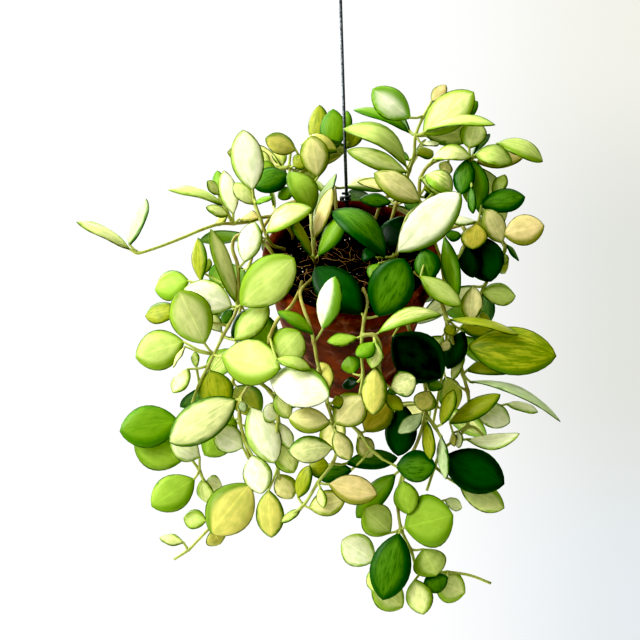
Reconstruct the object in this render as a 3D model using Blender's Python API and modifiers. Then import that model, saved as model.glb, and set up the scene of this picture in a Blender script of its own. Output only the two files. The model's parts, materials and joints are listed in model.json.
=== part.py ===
"""Potted Hoya heuschkeliana with variegated leaves, in a clay pot on a wire hanger.

The origin is where the hook bears on whatever holds it. The pot's top leans towards -Y, as it hangs.
Lengths in the tables are in millimetres. A leaf or a stem is placed in the sight frame: u to the right
and v up across the front view, in the plane of the rim's centre, and d towards the one who looks.
"""

import math
import random
from dataclasses import dataclass, field, replace

import bmesh
import bpy
from mathutils import Matrix, Vector
from mathutils.bvhtree import BVHTree

MM = 0.001
SEED = 7

# The pot: an 11 cm clay pot
RIM_RADIUS = 55.0
POT_HEIGHT = 95.0
COLLAR_HEIGHT = 13.0
COLLAR_STEP = 3.0
BASE_RADIUS = 35.0
WALL = 5.5
FLOOR = 6.0
DRAIN_RADIUS = 6.0
POT_TILT = math.radians(35.0)
POT_STEPS = 40

# The mix
MIX_STEPS = 24
MIX_DEPTH = 3.5
SEAT_GAP = 0.3

# The wire hanger
WIRE_RADIUS = 1.0
HOOK_RADIUS = 13.0
HANGER_FOOT = Vector((6.0, 14.0, -168.0))
STEM_TOP = Vector((1.4, 2.0, -36.0))
FERRULE_LENGTH = 9.0
FERRULE_RADIUS = 2.1
SOCKET_DEPTH = 5.5
LEG_X = -1.5
LEG_Y = 44.0
LEG_END = -26.0

# The view that the tables are drawn in
VIEW_PITCH = math.radians(10.0)
VIEW_RANGE = 1000.0
VIEW_CENTRE = (-18.75, -39.4)

# The plant
ROOT_DEPTH = 14.0
STEM_RADIUS = 1.4
TIP_RADIUS = 0.95
PETIOLE_RADIUS = 0.85
ROOTED_RADIUS = 0.45
STALK_REACH = 5.0
STALK_LEAST = 3.0
BLADE_HALF_THICKNESS = 0.85
STEM_SPACING = 11.0
CLEARANCE = 0.45

RIGHT = Vector((1.0, 0.0, 0.0))
VIEW_UP = Vector((0.0, math.sin(VIEW_PITCH), math.cos(VIEW_PITCH)))
TOWARD = Vector((0.0, -math.cos(VIEW_PITCH), math.sin(VIEW_PITCH)))
POT_AXIS = Vector((0.0, -math.sin(POT_TILT), math.cos(POT_TILT)))
POT_BACK = Vector((0.0, math.cos(POT_TILT), math.sin(POT_TILT)))
RIM_CENTRE = HANGER_FOOT - LEG_X * RIGHT - (LEG_Y + 3.5) * POT_BACK - 2.5 * POT_AXIS

FINISHES = {
    "clay": ((0.42, 0.13, 0.055), 0.85, 0.0),
    "mix": ((0.018, 0.012, 0.009), 0.95, 0.0),
    "wire": ((0.42, 0.43, 0.43), 0.45, 1.0),
    "stem": ((0.36, 0.34, 0.10), 0.5, 0.0),
    "leaf": ((0.38, 0.58, 0.06), 0.35, 0.0),
}


def sight(u, v, d):
    """The place that shows at (u, v) in the front view, d nearer than the rim's centre."""
    near = 1.0 - d / VIEW_RANGE
    across = VIEW_CENTRE[0] + (u - VIEW_CENTRE[0]) * near
    height = VIEW_CENTRE[1] + (v - VIEW_CENTRE[1]) * near
    return RIM_CENTRE + RIGHT * across + VIEW_UP * height + TOWARD * d


def in_pot(x, y, h):
    """A place in the pot's own frame: x to the right, y to its back, h above the rim."""
    return RIM_CENTRE + RIGHT * x + POT_BACK * y + POT_AXIS * h


def mix_height(x, y):
    """Height of the mix above the rim: low at the front wall, heaped towards the back."""
    heap = 3.0 * y / RIM_RADIUS
    lumps = 0.7 * math.sin(0.31 * x + 1.0) * math.cos(0.27 * y)
    return -MIX_DEPTH + heap + lumps


@dataclass(frozen=True)
class Leaf:
    """A leaf in the sight frame: base and tip across the view, then its depth and how it is turned."""

    base: tuple
    tip: tuple
    depth: float
    lean: float = 0.0
    wide: float = 18.0
    roll: float = 20.0
    arch: float = 0.08
    fold: float = 0.18


@dataclass
class Vine:
    """One rooted stem: where it leaves the mix, the routes of its shoots, and its leaves."""

    root: tuple
    route: list
    shoots: list = field(default_factory=list)
    leaves: list = field(default_factory=list)
    filled: tuple = (0, 0)


@dataclass(frozen=True)
class Blade:
    """A leaf in space: where its stalk starts, its base and tip, and the way its face points."""

    stalk: Vector
    base: Vector
    tip: Vector
    face: Vector
    slide: Vector
    wide: float
    arch: float
    fold: float


def vines():
    """The plant's stems, read across the front view from left to right."""
    return {
        "vine_left_high": Vine(
            root=(-36, 20),
            route=[(-43, 24, -8), (-53, 25, -8), (-63, 22, -10), (-73, 21, -10), (-82, 20.5, -7),
                   (-93, 17, -3), (-106, 11.5, 2), (-119, 6.5, 6), (-132, 2.5, 8), (-137, 4.5, 8)],
            shoots=[[(-73, 21, -10), (-77, 28, -11), (-81, 36, -12), (-83, 44, -12)]],
            leaves=[
                Leaf((-138, 5), (-171, 22), 8, 8, 15, 62, 0.10),
                Leaf((-138, 7), (-127.5, 36.5), 8, -6, 17, 48, 0.06),
                Leaf((-73, 27), (-79, 54), -9, 8, 13, 20, 0.05),
                Leaf((-79, 32), (-114, 42), -12, 6, 15, 62, 0.14),
                Leaf((-76, 26), (-90, 31), -8, 6, 9, 35),
                Leaf((-82, 40), (-83, 54), -12, -6, 8, 20),
                Leaf((-81, 38), (-89, 47), -12, 2, 8, 30),
                Leaf((-74, 27), (-84, 21), -12, -10, 8, 30),
                Leaf((-69, 24), (-57, 24), -8, 8, 10, 40, 0.2),
            ],
        ),
        "vine_left_trail": Vine(
            root=(-40, -6),
            route=[(-46, -1, 9), (-52, 7, 12), (-61, 14, 8), (-71, 13, 3), (-73.5, 5, 2), (-70, -7, 5),
                   (-70.5, -31, 8), (-76, -43, 10), (-79.5, -49.5, 10), (-85, -61, 9), (-88.5, -68, 8),
                   (-94, -79, 5), (-99, -93, 3), (-101, -110, 1), (-100, -124, 0), (-94, -133.5, 0),
                   (-91, -141, 0)],
            leaves=[
                Leaf((-68.5, -30), (-34.5, -0.5), 20, 10, 29, 6, 0.06, 0.12),
                Leaf((-66, -3), (-59.5, 22), 10, 4, 16, 15, 0.05),
                Leaf((-71, -29), (-87, 17.5), 9, 3, 15, 45, 0.04),
                Leaf((-93, -15), (-95, 12), 4, -4, 13, 38, 0.05),
                Leaf((-93, -15), (-88, -1), 2, -4, 7, 20),
                Leaf((-101, -15), (-122, -20.5), 6, -8, 20, 18, 0.08),
                Leaf((-108, -33), (-128, -37), 4, -6, 15, 25, 0.08),
                Leaf((-74, -31), (-104, -20), 9, 2, 22, 12, 0.10),
                Leaf((-73, -33), (-81, -42), 5, -6, 9, 30),
                Leaf((-91, -54), (-107, -21), 11, 10, 27, 10, 0.06),
                Leaf((-104, -53), (-134, -63), 6, 0, 26, 12, 0.06),
                Leaf((-103, -56), (-110, -69), 8, 0, 6, 55),
                Leaf((-101, -70), (-110.5, -85), 7, 4, 13, 35, 0.05),
                Leaf((-96, -69), (-97, -59), 5, -2, 6, 25),
                Leaf((-74, -51), (-62, -32), 6, -6, 10, 20),
                Leaf((-72, -52), (-51, -30), 14, 2, 18, 22, 0.06),
                Leaf((-80, -62), (-43.5, -69.5), 20, 17, 29, 5, 0.06, 0.12),
                Leaf((-88, -70), (-81, -96), 7, 0, 24, 15, 0.05),
                Leaf((-107, -103), (-144, -109), 4, 2, 27, 12, 0.06, 0.12),
                Leaf((-103, -126), (-135, -117), 0, 0, 25, 15, 0.06),
                Leaf((-94, -125), (-112, -115), 5, 4, 17, 25),
                Leaf((-97.5, -139), (-124, -156), 0, 4, 23, 10, 0.06, 0.12),
                Leaf((-92, -139), (-89, -154), -3, -4, 12, 25),
                Leaf((-90, -141), (-80, -143), -4, -6, 12, 25),
                Leaf((-80, -47), (-92, -33), 4, 0, 10, 20),
            ],
        ),
        "vine_left_upright": Vine(
            root=(-41, 8),
            route=[(-48, 7, 0), (-52, 13, 3), (-56, 24, 4), (-60, 36, 2), (-61, 46, -3)],
            leaves=[
                Leaf((-61, 42), (-67, 79.5), 3, 10, 21, 8, 0.06, 0.14),
                Leaf((-60, 33), (-72, 46), 0, -6, 14, 35),
                Leaf((-54.5, 14), (-23.5, 30.5), 13, 6, 17, 30, 0.24),
                Leaf((-59, 34), (-48.5, 37), 8, 6, 8, 55),
            ],
        ),
        "vine_front_left": Vine(
            root=(-30, -20),
            route=[(-32, -22, 27), (-37, -31, 38), (-45, -39, 40), (-50, -50, 36), (-52, -62, 28),
                   (-60, -76, 24), (-68, -88, 22), (-69, -101, 18), (-66, -114, 16), (-62, -128, 14),
                   (-60, -140, 12), (-70, -155, 8), (-84, -166, 4), (-95, -177, 0), (-101, -183, 0),
                   (-110, -189, 0)],
            shoots=[[(-60, -76, 24), (-50, -84, 27), (-45, -95, 27), (-46, -110, 25), (-46, -124, 22),
                     (-44, -140, 18)]],
            leaves=[
                Leaf((-46, -64), (-31, -46.5), 36, 6, 23, 10, 0.06, 0.12),
                Leaf((-46, -64), (-24.5, -70.5), 45, 2, 13, 52, 0.14),
                Leaf((-70, -88.5), (-113, -116), 17, 6, 26, 14, 0.08, 0.14),
                Leaf((-71, -100), (-91, -124), 10, -2, 23, 22),
                Leaf((-67, -119), (-85, -108.5), 14, 2, 18, 12, 0.06),
                Leaf((-68, -90), (-66, -97), 26, 2, 6, 20),
                Leaf((-62, -94), (-47, -129), 24, 4, 21, 8, 0.06),
                Leaf((-61, -124), (-55, -148), 18, 2, 19, 14, 0.05),
                Leaf((-60, -139), (-87, -173), 16, 4, 30, 12, 0.07, 0.14),
                Leaf((-90, -165), (-104, -163), 2, -4, 13, 20),
                Leaf((-88, -168), (-81, -179.5), 4, -2, 15, 20),
                Leaf((-104, -178.5), (-119, -175.5), 0, 0, 9, 45),
                Leaf((-51, -146), (-49, -175.5), 20, 2, 18, 12, 0.06),
                Leaf((-45, -136), (-36, -151), 17, 2, 15, 18),
                Leaf((-46, -115), (-35, -135), 22, 0, 16, 18),
                Leaf((-42, -101), (-54, -95), 24, 0, 13, 14),
                Leaf((-47, -83), (-38.5, -101), 29, 2, 12, 20),
                Leaf((-44, -104), (-37, -120), 22, 0, 10, 25),
                Leaf((-50, -75), (-12.5, -86.5), 34, 9, 26, 10, 0.08),
            ],
        ),
        "vine_front_mid": Vine(
            root=(-20, -14),
            route=[(-25, -15, 19), (-31, -22, 33), (-29, -32, 43), (-25.5, -42, 47), (-22.5, -53, 47),
                   (-20.5, -65, 45), (-17, -78, 42), (-14, -92, 39), (-10, -106, 37), (-8.5, -120, 36),
                   (-11, -129, 35), (-20, -141, 33), (-29, -155, 30), (-41, -164, 28)],
            shoots=[[(-14, -92, 39), (-4, -101, 36), (6, -110, 32), (13, -120, 29), (21, -127, 27)]],
            leaves=[
                Leaf((-17, -45), (-9, -12), 47, 8, 16, 22, 0.08, 0.3),
                Leaf((-19, -51), (-45.5, -34), 49, 0, 15, 58, 0.14),
                Leaf((-14, -84.5), (-18.5, -66), 50, 2, 13, 14, 0.08, 0.3),
                Leaf((-17, -92), (-4, -90), 40, 2, 9, 25),
                Leaf((-10, -105), (8.5, -87), 42, 6, 22, 15, 0.08, 0.3),
                Leaf((-11, -104), (-38.5, -101), 40, 2, 16, 14, 0.10),
                Leaf((-9, -119), (-38.5, -121.5), 38, 4, 17, 14, 0.08),
                Leaf((-9.5, -108), (0, -127), 41, 2, 13, 22, 0.06, 0.3),
                Leaf((7, -112), (25, -90), 31, -4, 19, 20, 0.06),
                Leaf((5, -113), (14, -125), 28, -6, 13, 20),
                Leaf((-11.5, -130), (-26, -132), 30, -2, 14, 18),
                Leaf((-2, -129), (30, -126), 22, -4, 13, 25),
                Leaf((1, -133), (-21, -137), 20, -4, 13, 25),
                Leaf((-13, -142), (17, -149), 34, 4, 18, 8, 0.06, 0.12),
                Leaf((-26, -157), (-3, -151), 31, 2, 16, 8, 0.06),
                Leaf((-19, -142), (-16.5, -157), 36, 0, 7, 25),
                Leaf((-33, -152), (-25, -130), 29, -2, 12, 35),
                Leaf((-31, -158), (-43, -166), 28, 2, 6, 30),
                Leaf((29, -131), (53.5, -130.5), 28, 4, 20, 12, 0.06),
            ],
        ),
        "vine_front_right": Vine(
            root=(8, -26),
            route=[(11, -28, 32), (9, -38, 43), (7.5, -49, 48), (7, -61, 48), (8, -74, 46), (6, -86, 45)],
            shoots=[[(7.5, -49, 48), (15, -49, 50), (19, -56, 50), (18, -66, 48), (20, -77, 46),
                     (23, -88, 44)]],
            leaves=[
                Leaf((8, -36), (-22, -6.5), 42, -14, 25, 12, 0.06, 0.1),
                Leaf((6, -50.5), (-14.5, -53), 48, 2, 11, 45, 0.08),
                Leaf((16, -48), (57, -36), 50, -8, 15, 48, 0.2),
                Leaf((17, -52), (4, -62), 52, 4, 13, 40, 0.05, 0.3),
                Leaf((16, -53), (14, -70), 53, 4, 12, 30, 0.05, 0.3),
                Leaf((16, -68), (14.5, -99), 50, 2, 16, 12, 0.06, 0.25),
                Leaf((4, -79), (-1, -62), 44, -4, 13, 18, 0.08),
                Leaf((5, -78), (-5, -80), 44, -6, 8, 30),
                Leaf((21, -84), (41, -75.5), 46, 2, 18, 28, 0.08, 0.3),
                Leaf((22, -86), (33, -96), 46, 2, 10, 30, 0.08),
                Leaf((17, -37), (34, -1), 40, 10, 28, 6, 0.05, 0.12),
            ],
        ),
        "vine_centre": Vine(
            root=(-21, -6),
            route=[(-22.5, -1, 12), (-23, 8, 12), (-24, 18, 6), (-25, 29, -2), (-27, 38, -8)],
            leaves=[
                Leaf((-22, 12), (-11, 43.5), 13, 4, 12, 35, 0.05),
                Leaf((-23, -2), (-39.5, 26.5), 16, 4, 12, 55, 0.10),
                Leaf((-21, -1), (-1.5, 28.5), 18, 2, 15, 35, 0.06, 0.3),
                Leaf((-24, 27), (-38, 53.5), 2, -4, 20, 30, 0.24),
                Leaf((-26, 36), (-36.5, 50.5), -8, -6, 8, 20),
                Leaf((-23, 22), (-8.5, 52), -4, -8, 9, 40, 0.05),
            ],
        ),
        "vine_mid_right": Vine(
            root=(27, -4),
            route=[(29, 1, 10), (31, 9, 12), (33, 18, 8), (37, 27, 2), (45, 33, -2), (52, 40, -8)],
            shoots=[[(31, 9, 12), (39, 6, 19), (48, 3, 22), (55, -6, 24)]],
            leaves=[
                Leaf((30, 3), (69.5, 40), 22, 12, 25, 4, 0.05, 0.1),
                Leaf((27, 2), (33, 25.5), 3, -8, 25, 16, 0.06, 0.1),
                Leaf((22, 0), (-11.5, 29), 22, -6, 21, 28, 0.26),
                Leaf((19, -2), (9, 5), 24, -6, 14, 14),
                Leaf((18, -4), (13, -14), 26, 2, 11, 20),
                Leaf((46, 7), (50, -14.5), 24, 4, 17, 10, 0.06),
                Leaf((44, -12), (69.5, -30.5), 32, 6, 17, 38, 0.08, 0.3),
                Leaf((46, 33), (15, 52.5), 3, 6, 19, 22, 0.10),
                Leaf((46, 38), (4.5, 47), -6, 8, 12, 35, 0.10),
            ],
        ),
        "vine_lower_right": Vine(
            root=(30, -22),
            route=[(31, -25, 30), (34, -36, 42), (38, -48, 38), (42, -62, 32), (46, -76, 30), (48, -90, 29),
                   (47, -100, 29), (42, -116, 27), (36, -128, 24), (31, -142, 22), (30, -156, 22),
                   (32, -170, 24), (38, -183, 23), (44, -197, 22), (61, -197, 16), (75, -199, 14),
                   (88, -204, 12)],
            shoots=[[(47, -98, 29), (53, -106, 31), (57, -113, 31)],
                    [(32, -170, 24), (24, -182, 20), (17, -195, 18)]],
            leaves=[
                Leaf((23, -46), (57.5, -75.5), 40, 4, 30, 10, 0.06, 0.12),
                Leaf((33, -140), (37, -161), 27, 2, 16, 12, 0.04),
                Leaf((28, -136), (4, -163), 18, -4, 16, 30),
                Leaf((25.5, -173), (9, -157), 24, 6, 21, 12, 0.06),
                Leaf((32, -169.5), (65, -162), 27, 8, 33, 6, 0.05, 0.12),
                Leaf((31, -171), (20.5, -214.5), 30, 4, 25, 8, 0.05, 0.12),
                Leaf((45, -181), (54, -199.5), 24, 4, 22, 15, 0.05),
                Leaf((17, -191), (-5, -177), 14, -2, 21, 12, 0.05),
                Leaf((15, -194), (17, -210), 20, 2, 13, 25),
                Leaf((14, -203), (33, -219), 14, -2, 20, 15, 0.05),
                Leaf((40, -199), (46, -223.5), 28, 2, 17, 14, 0.06),
                Leaf((61, -200), (46, -207), 24, 4, 13, 14),
                Leaf((52, -202), (72, -210), 17, 0, 20, 14, 0.06),
                Leaf((59.5, -152), (70, -157), 10, -2, 9, 35),
                Leaf((45, -98), (30, -110), 34, 2, 13, 45, 0.08, 0.3),
                Leaf((48, -103), (50.5, -127), 33, 2, 10, 40, 0.05),
                Leaf((57, -112), (60, -139), 34, 2, 9, 40, 0.05),
                Leaf((56, -108), (65, -83), 34, 2, 11, 40, 0.05),
                Leaf((50, -84), (44, -96), 31, 2, 15, 20),
                Leaf((46, -78), (58, -82), 28, 4, 10, 45),
                Leaf((34, -93), (30, -124.5), 27, -2, 20, 14),
            ],
        ),
        "vine_right_trail": Vine(
            root=(40, -12),
            route=[(46, -14, 20), (56, -26, 30), (60, -38, 32), (63, -50, 30), (68, -62, 28), (70.5, -73, 26),
                   (73.5, -84, 24), (74.5, -95, 22), (73, -106, 20), (66, -114, 19), (57, -121, 19),
                   (53, -131, 18), (48, -146, 16)],
            shoots=[[(73, -106, 20), (78, -107, 19), (83.5, -111.5, 18)]],
            leaves=[
                Leaf((59, -38.5), (105, -49), 36, 8, 14, 66, 0.10),
                Leaf((74, -56), (129, -62), 30, 10, 30, 10, 0.08, 0.14),
                Leaf((72, -71), (116, -64), 22, 2, 18, 40, 0.08),
                Leaf((72, -44), (61, -70), 28, 2, 15, 25),
                Leaf((69, -44), (91, -46), 22, -6, 14, 30),
                Leaf((61, -42), (64, -49), 36, 3, 8, 15),
                Leaf((62, -50), (58, -59), 33, 2, 8, 30),
                Leaf((64, -77), (71, -60), 26, 2, 8, 40),
                Leaf((75, -78), (131.5, -103), 26, 10, 15, 68, 0.14),
                Leaf((62, -104), (94, -86), 26, 6, 14, 36, 0.06, 0.3),
                Leaf((76, -93), (100, -103.5), 18, 4, 17, 22, 0.08),
                Leaf((98, -92), (117.5, -97), 15, 2, 8, 40, 0.10),
                Leaf((73, -114), (106, -110.5), 17, 6, 14, 52, -0.10),
                Leaf((68, -107), (68, -119.5), 21, 2, 7, 40),
                Leaf((64, -109), (65, -118), 20, 0, 6, 40),
                Leaf((52, -122.5), (96.5, -142), 23, 6, 27, 8, 0.06, 0.12),
                Leaf((69, -143), (96.5, -157), 14, 0, 18, 22, 0.06),
            ],
        ),
        "vine_right": Vine(
            root=(39, 12),
            route=[(49, 14, -2), (59, 17, 2), (70, 20, 3), (80, 21, 2), (90, 15, 2), (97, 6, 0), (92, -6, 0),
                   (84, -18, 4), (79, -30, 8), (76, -41, 10)],
            shoots=[[(70, 20, 3), (73, 13, 10), (70, 4, 14), (64, -6, 16)]],
            leaves=[
                Leaf((59, 12), (67.5, -25), 11, 12, 13, 38, 0.05, 0.25),
                Leaf((80, 13), (88, -15.5), 4, 4, 25, 18, 0.06, 0.12),
                Leaf((97, 8), (105.5, -2.5), 0, -4, 8, 60),
                Leaf((93, -5), (98.5, 1), 2, 4, 7, 30),
                Leaf((77, -18), (75, -40), 14, 4, 14, 20, 0.05),
                Leaf((77, -38), (87.5, -39), 8, -4, 12, 35),
                Leaf((80, -22), (103.5, -24.5), 6, -4, 17, 32, 0.08),
                Leaf((82, 32), (109.5, 37.5), 0, -2, 17, 22, 0.08),
                Leaf((95, 9), (85, 30), 8, 2, 16, 14, 0.06),
                Leaf((96, 14), (121.5, 19.5), 8, 4, 20, 12, 0.08),
                Leaf((79, 21), (76, 4.5), 8, 6, 17, 18, 0.08),
                Leaf((78, 22), (61, 22.5), 8, 6, 9, 45),
                Leaf((72, 14), (60, 13), 8, 2, 10, 40),
                Leaf((90, 38), (97, 51.5), -8, -2, 10, 30),
                Leaf((72, 10), (77, -13), 8, 2, 14, 18, 0.06),
                Leaf((94, 4), (98, -10), 3, -2, 11, 30),
            ],
            filled=(1, 4),
        ),
        "vine_high_left": Vine(
            root=(-19, 26),
            route=[(-24, 27, -14), (-30, 38, -18), (-36, 50, -22), (-38, 56, -23), (-37, 66, -26)],
            shoots=[[(-36, 50, -22), (-26, 55, -23), (-16, 60, -24), (-6, 65, -27), (-1, 72, -30)],
                    [(-38, 56, -23), (-47, 55, -24), (-54, 58, -26)]],
            leaves=[
                Leaf((-34, 67), (-53, 74), -22, 6, 15, 18, 0.08),
                Leaf((-20, 50), (-24, 76), -16, 6, 19, 8, 0.06, 0.2),
                Leaf((-11, 66), (-10.5, 92.5), -26, -2, 17, 10, 0.06),
                Leaf((-20, 68), (-19, 95), -32, -6, 14, 14, 0.06),
                Leaf((-2, 74), (-2, 91.5), -34, -4, 8, 20),
                Leaf((-8, 66), (-31, 71), -20, 4, 17, 35, 0.24),
                Leaf((-42, 56), (-46, 69), -25, -4, 10, 15),
                Leaf((-50, 58), (-61.5, 66), -26, 0, 10, 20),
                Leaf((-46, 53), (-58, 57.5), -22, 2, 11, 20),
                Leaf((-38, 55), (-28, 62), -20, 2, 12, 20),
                Leaf((-37, 52), (-60, 43.5), -18, 6, 19, 22, 0.14),
                Leaf((-33, 44), (-45, 37), -14, 0, 10, 25),
                Leaf((-2, 68), (6, 83), -32, -4, 13, 14),
            ],
            filled=(2, 3),
        ),
        "vine_high_right": Vine(
            root=(26, 30),
            route=[(29, 33, -20), (34, 44, -22), (37, 54, -22), (40, 63, -20), (41, 76, -18), (46, 88, -18),
                   (51, 97, -18)],
            leaves=[
                Leaf((37.5, 87), (14, 105), -14, 4, 21, 12, 0.06, 0.3),
                Leaf((46, 77), (77.5, 103), -14, 6, 24, 12, 0.06, 0.14),
                Leaf((51, 97), (60, 107.5), -18, -2, 9, 15),
                Leaf((57, 85), (80, 97), -22, -4, 17, 20, 0.08),
                Leaf((48, 79), (89, 80.5), -12, 6, 13, 48, 0.15),
                Leaf((37, 78), (2, 92), -24, -4, 14, 52, 0.14),
                Leaf((35, 57), (-4.5, 80), -18, 6, 19, 38, 0.3),
                Leaf((35, 53), (-2, 66.5), -14, 8, 15, 30, 0.08),
                Leaf((38, 60), (26, 66), -24, -6, 9, 40),
                Leaf((41, 64), (52, 66), -22, -8, 11, 30),
                Leaf((44, 70), (56, 71), -16, -4, 7, 50),
                Leaf((28, 34), (6, 36), -23, 2, 11, 30),
                Leaf((34, 35), (47, 26), -16, 4, 10, 25),
            ],
            filled=(1, 3),
        ),
        "vine_right_high": Vine(
            root=(35, 24),
            route=[(39, 28, -15), (43, 38, -15), (44, 49, -13), (50, 58, -12), (62, 62, -10), (75, 62, -8),
                   (84, 64, -8), (93, 70, -7)],
            leaves=[
                Leaf((48, 61), (75.5, 62), -8, 8, 15, 40, 0.3),
                Leaf((46, 52), (63.5, 40), -8, 6, 16, 22, 0.34),
                Leaf((44, 49), (61, 38.5), -4, 8, 10, 35, 0.1),
                Leaf((43, 42), (55, 43.5), -12, -4, 12, 25),
                Leaf((73, 61), (69.5, 39), -2, 4, 14, 20, 0.05),
                Leaf((77, 61), (80, 30), -4, 4, 18, 14, 0.08),
                Leaf((76, 44), (77, 27), 4, 4, 7, 40),
                Leaf((77, 64), (101.5, 59), -3, 4, 16, 25, 0.26),
                Leaf((92, 71), (120.5, 59.5), -4, 4, 15, 32, 0.2),
                Leaf((79, 59), (109, 63.5), -10, -2, 14, 30, 0.04),
                Leaf((74.5, 68), (79, 85), -12, -2, 18, 22, 0.05),
                Leaf((62, 61), (58, 52), -12, -4, 10, 20),
                Leaf((45, 37), (60, 41), -16, 0, 10, 30),
            ],
            filled=(1, 3),
        ),
        "vine_back_left": Vine(
            root=(-22, 34),
            route=[(-27, 34, -32), (-40, 33, -48), (-52, 22, -58), (-60, 4, -62), (-66, -18, -60),
                   (-70, -42, -56), (-72, -66, -50), (-74, -90, -46), (-72, -114, -42)],
            filled=(8, 1),
        ),
        "vine_back_mid": Vine(
            root=(-8, 35),
            route=[(-9, 35, -26), (-10, 43.5, -38), (-12, 42, -51), (-14, 30, -68), (-13, 10, -84),
                   (-12, -12, -94), (-10, -36, -99), (-8, -60, -97), (-5, -84, -88), (-2, -106, -78)],
            filled=(8, 1),
        ),
        "vine_back_right": Vine(
            root=(17, 36),
            route=[(21, 36, -36), (30, 38, -52), (42, 30, -62), (52, 12, -66), (58, -10, -66), (60, -34, -60),
                   (60, -58, -52), (56, -82, -44), (52, -104, -38)],
            filled=(8, 1),
        ),
    }


def smooth(points, spacing):
    """Points read about every spacing millimetres from a smooth curve through the given ones."""
    ends = [2 * points[0] - points[1], *points, 2 * points[-1] - points[-2]]
    found = [points[0]]
    for before, start, end, after in zip(ends, ends[1:], ends[2:], ends[3:]):
        count = max(1, round((end - start).length / spacing))
        for step in range(1, count + 1):
            t = step / count
            bend = (2 * before - 5 * start + 4 * end - after) * t**2
            twist = (3 * start - before - 3 * end + after) * t**3
            found.append(start + 0.5 * ((end - before) * t + bend + twist))
    return found


def stem_paths(vine, spacing):
    """Each shoot's points, the rooted one first, whose first stretch is straight down in the mix."""
    x, y = vine.root
    surface = mix_height(x, y)
    foot = in_pot(x, y, surface - ROOT_DEPTH)
    mouth = in_pot(x, y, surface + 2.5)
    rooted = smooth([mouth, *(sight(*spot) for spot in vine.route)], spacing)
    shoots = [smooth([sight(*spot) for spot in shoot], spacing) for shoot in vine.shoots]
    return [[foot, *rooted], *shoots]


def stem_radius(path, step):
    """A shoot thins towards its tip."""
    return STEM_RADIUS + (TIP_RADIUS - STEM_RADIUS) * step / (len(path) - 1)


def nearest(paths, place):
    """The point on the shoots nearest to a place, away from their cut ends and the stretch in the mix."""
    spots = [spot for path in paths for spot in path[1:-1]]
    return min(spots, key=lambda spot: (spot - place).length)


def blade_of(leaf, paths):
    """The leaf of the sight frame, in space. A positive roll turns its face up, or left when it stands."""
    base = sight(*leaf.base, leaf.depth)
    tip = sight(*leaf.tip, leaf.depth + leaf.lean)
    along = (tip - base).normalized()
    stalk = nearest(paths, base - along * STALK_REACH)
    if (base - stalk).dot(along) < STALK_LEAST:
        base += along * (STALK_LEAST - (base - stalk).dot(along))
    face = (TOWARD - along * TOWARD.dot(along)).normalized()
    side = along.cross(face)
    if side.dot(VIEW_UP - 0.3 * RIGHT) < 0:
        side = -side
    turn = math.radians(leaf.roll)
    face = face * math.cos(turn) + side * math.sin(turn)
    return Blade(stalk, base, tip, face, TOWARD, leaf.wide, leaf.arch, leaf.fold)


def filling(vine, paths, rng):
    """Pairs of leaves along a shoot by rule, each pair turned across the last, away from the viewer."""
    pairs, first = vine.filled
    spots = paths[0][1:]
    for pair in range(pairs):
        step = min(len(spots) - 2, round(first + (pair + 0.6) * (len(spots) - 1 - first) / pairs))
        along = (spots[step + 1] - spots[step - 1]).normalized()
        out = (-TOWARD - along * -TOWARD.dot(along)).normalized()
        out = Matrix.Rotation(math.radians(50.0 * (pair % 2) - 25.0), 3, along) @ out
        for side in (-1, 1):
            spread = Matrix.Rotation(side * math.radians(rng.uniform(48, 72)), 3, along) @ out
            way = (spread + 0.35 * along + Vector((0, 0, rng.uniform(-0.35, 0.15)))).normalized()
            length = rng.uniform(32, 42)
            base = spots[step] + way * rng.uniform(5, 8)
            face = (out + Vector((0, 0, 0.9))).normalized()
            face = (face - way * face.dot(way)).normalized()
            yield Blade(spots[step], base, base + way * length, face, face,
                        length * rng.uniform(0.5, 0.62), rng.uniform(0.05, 0.14), 0.16)


RINGS = ("in stem", "stalk", 0.22, 0.52, 0.82)
CORNERS = 4


def half_width(s):
    """Half the blade's width at s along it, as a share of its full width: an oval, drawn in at both ends."""
    return 1.41 * s**0.78 * (1 - s) ** 0.72


def cage_points(blade, grow=0.0):
    """Points of the coarse leaf: the stalk's end in the stem, its rings, and the tip, in template order."""
    chord = blade.tip - blade.base
    length = chord.length
    along = chord / length
    side = along.cross(blade.face).normalized()
    stalk = blade.base - blade.stalk
    reach = stalk.length
    lead = stalk / reach
    mitre = (lead + along).normalized()
    up = (blade.face - lead * blade.face.dot(lead)).normalized()
    across = lead.cross(up)
    bent_up = (blade.face - mitre * blade.face.dot(mitre)).normalized()
    bent = mitre.cross(bent_up)
    radius = PETIOLE_RADIUS + grow
    rings = []
    for ring in RINGS:
        if ring == "in stem":
            sunk = ROOTED_RADIUS + grow
            rings.append((blade.stalk + lead * 0.25, across * sunk, up * sunk, -up * sunk))
        elif ring == "stalk":
            rings.append((blade.base, bent * radius, bent_up * radius, -bent_up * radius))
        else:
            middle = blade.base + chord * ring + blade.face * (4 * blade.arch * length * ring * (1 - ring))
            half = blade.wide * half_width(ring) + grow
            drop = blade.face * (blade.fold * half)
            thick = blade.face * (BLADE_HALF_THICKNESS + grow)
            rings.append((middle, side * half - drop, thick, -thick))
    points = [blade.stalk - lead * (0.1 + grow)]
    for number, (middle, right, over, under) in enumerate(rings):
        left = right - 2 * right.dot(side) * side if number > 1 else -right
        points += [middle + right, middle + over, middle + left, middle + under]
    points.append(blade.tip + along * grow)
    return points


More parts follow.
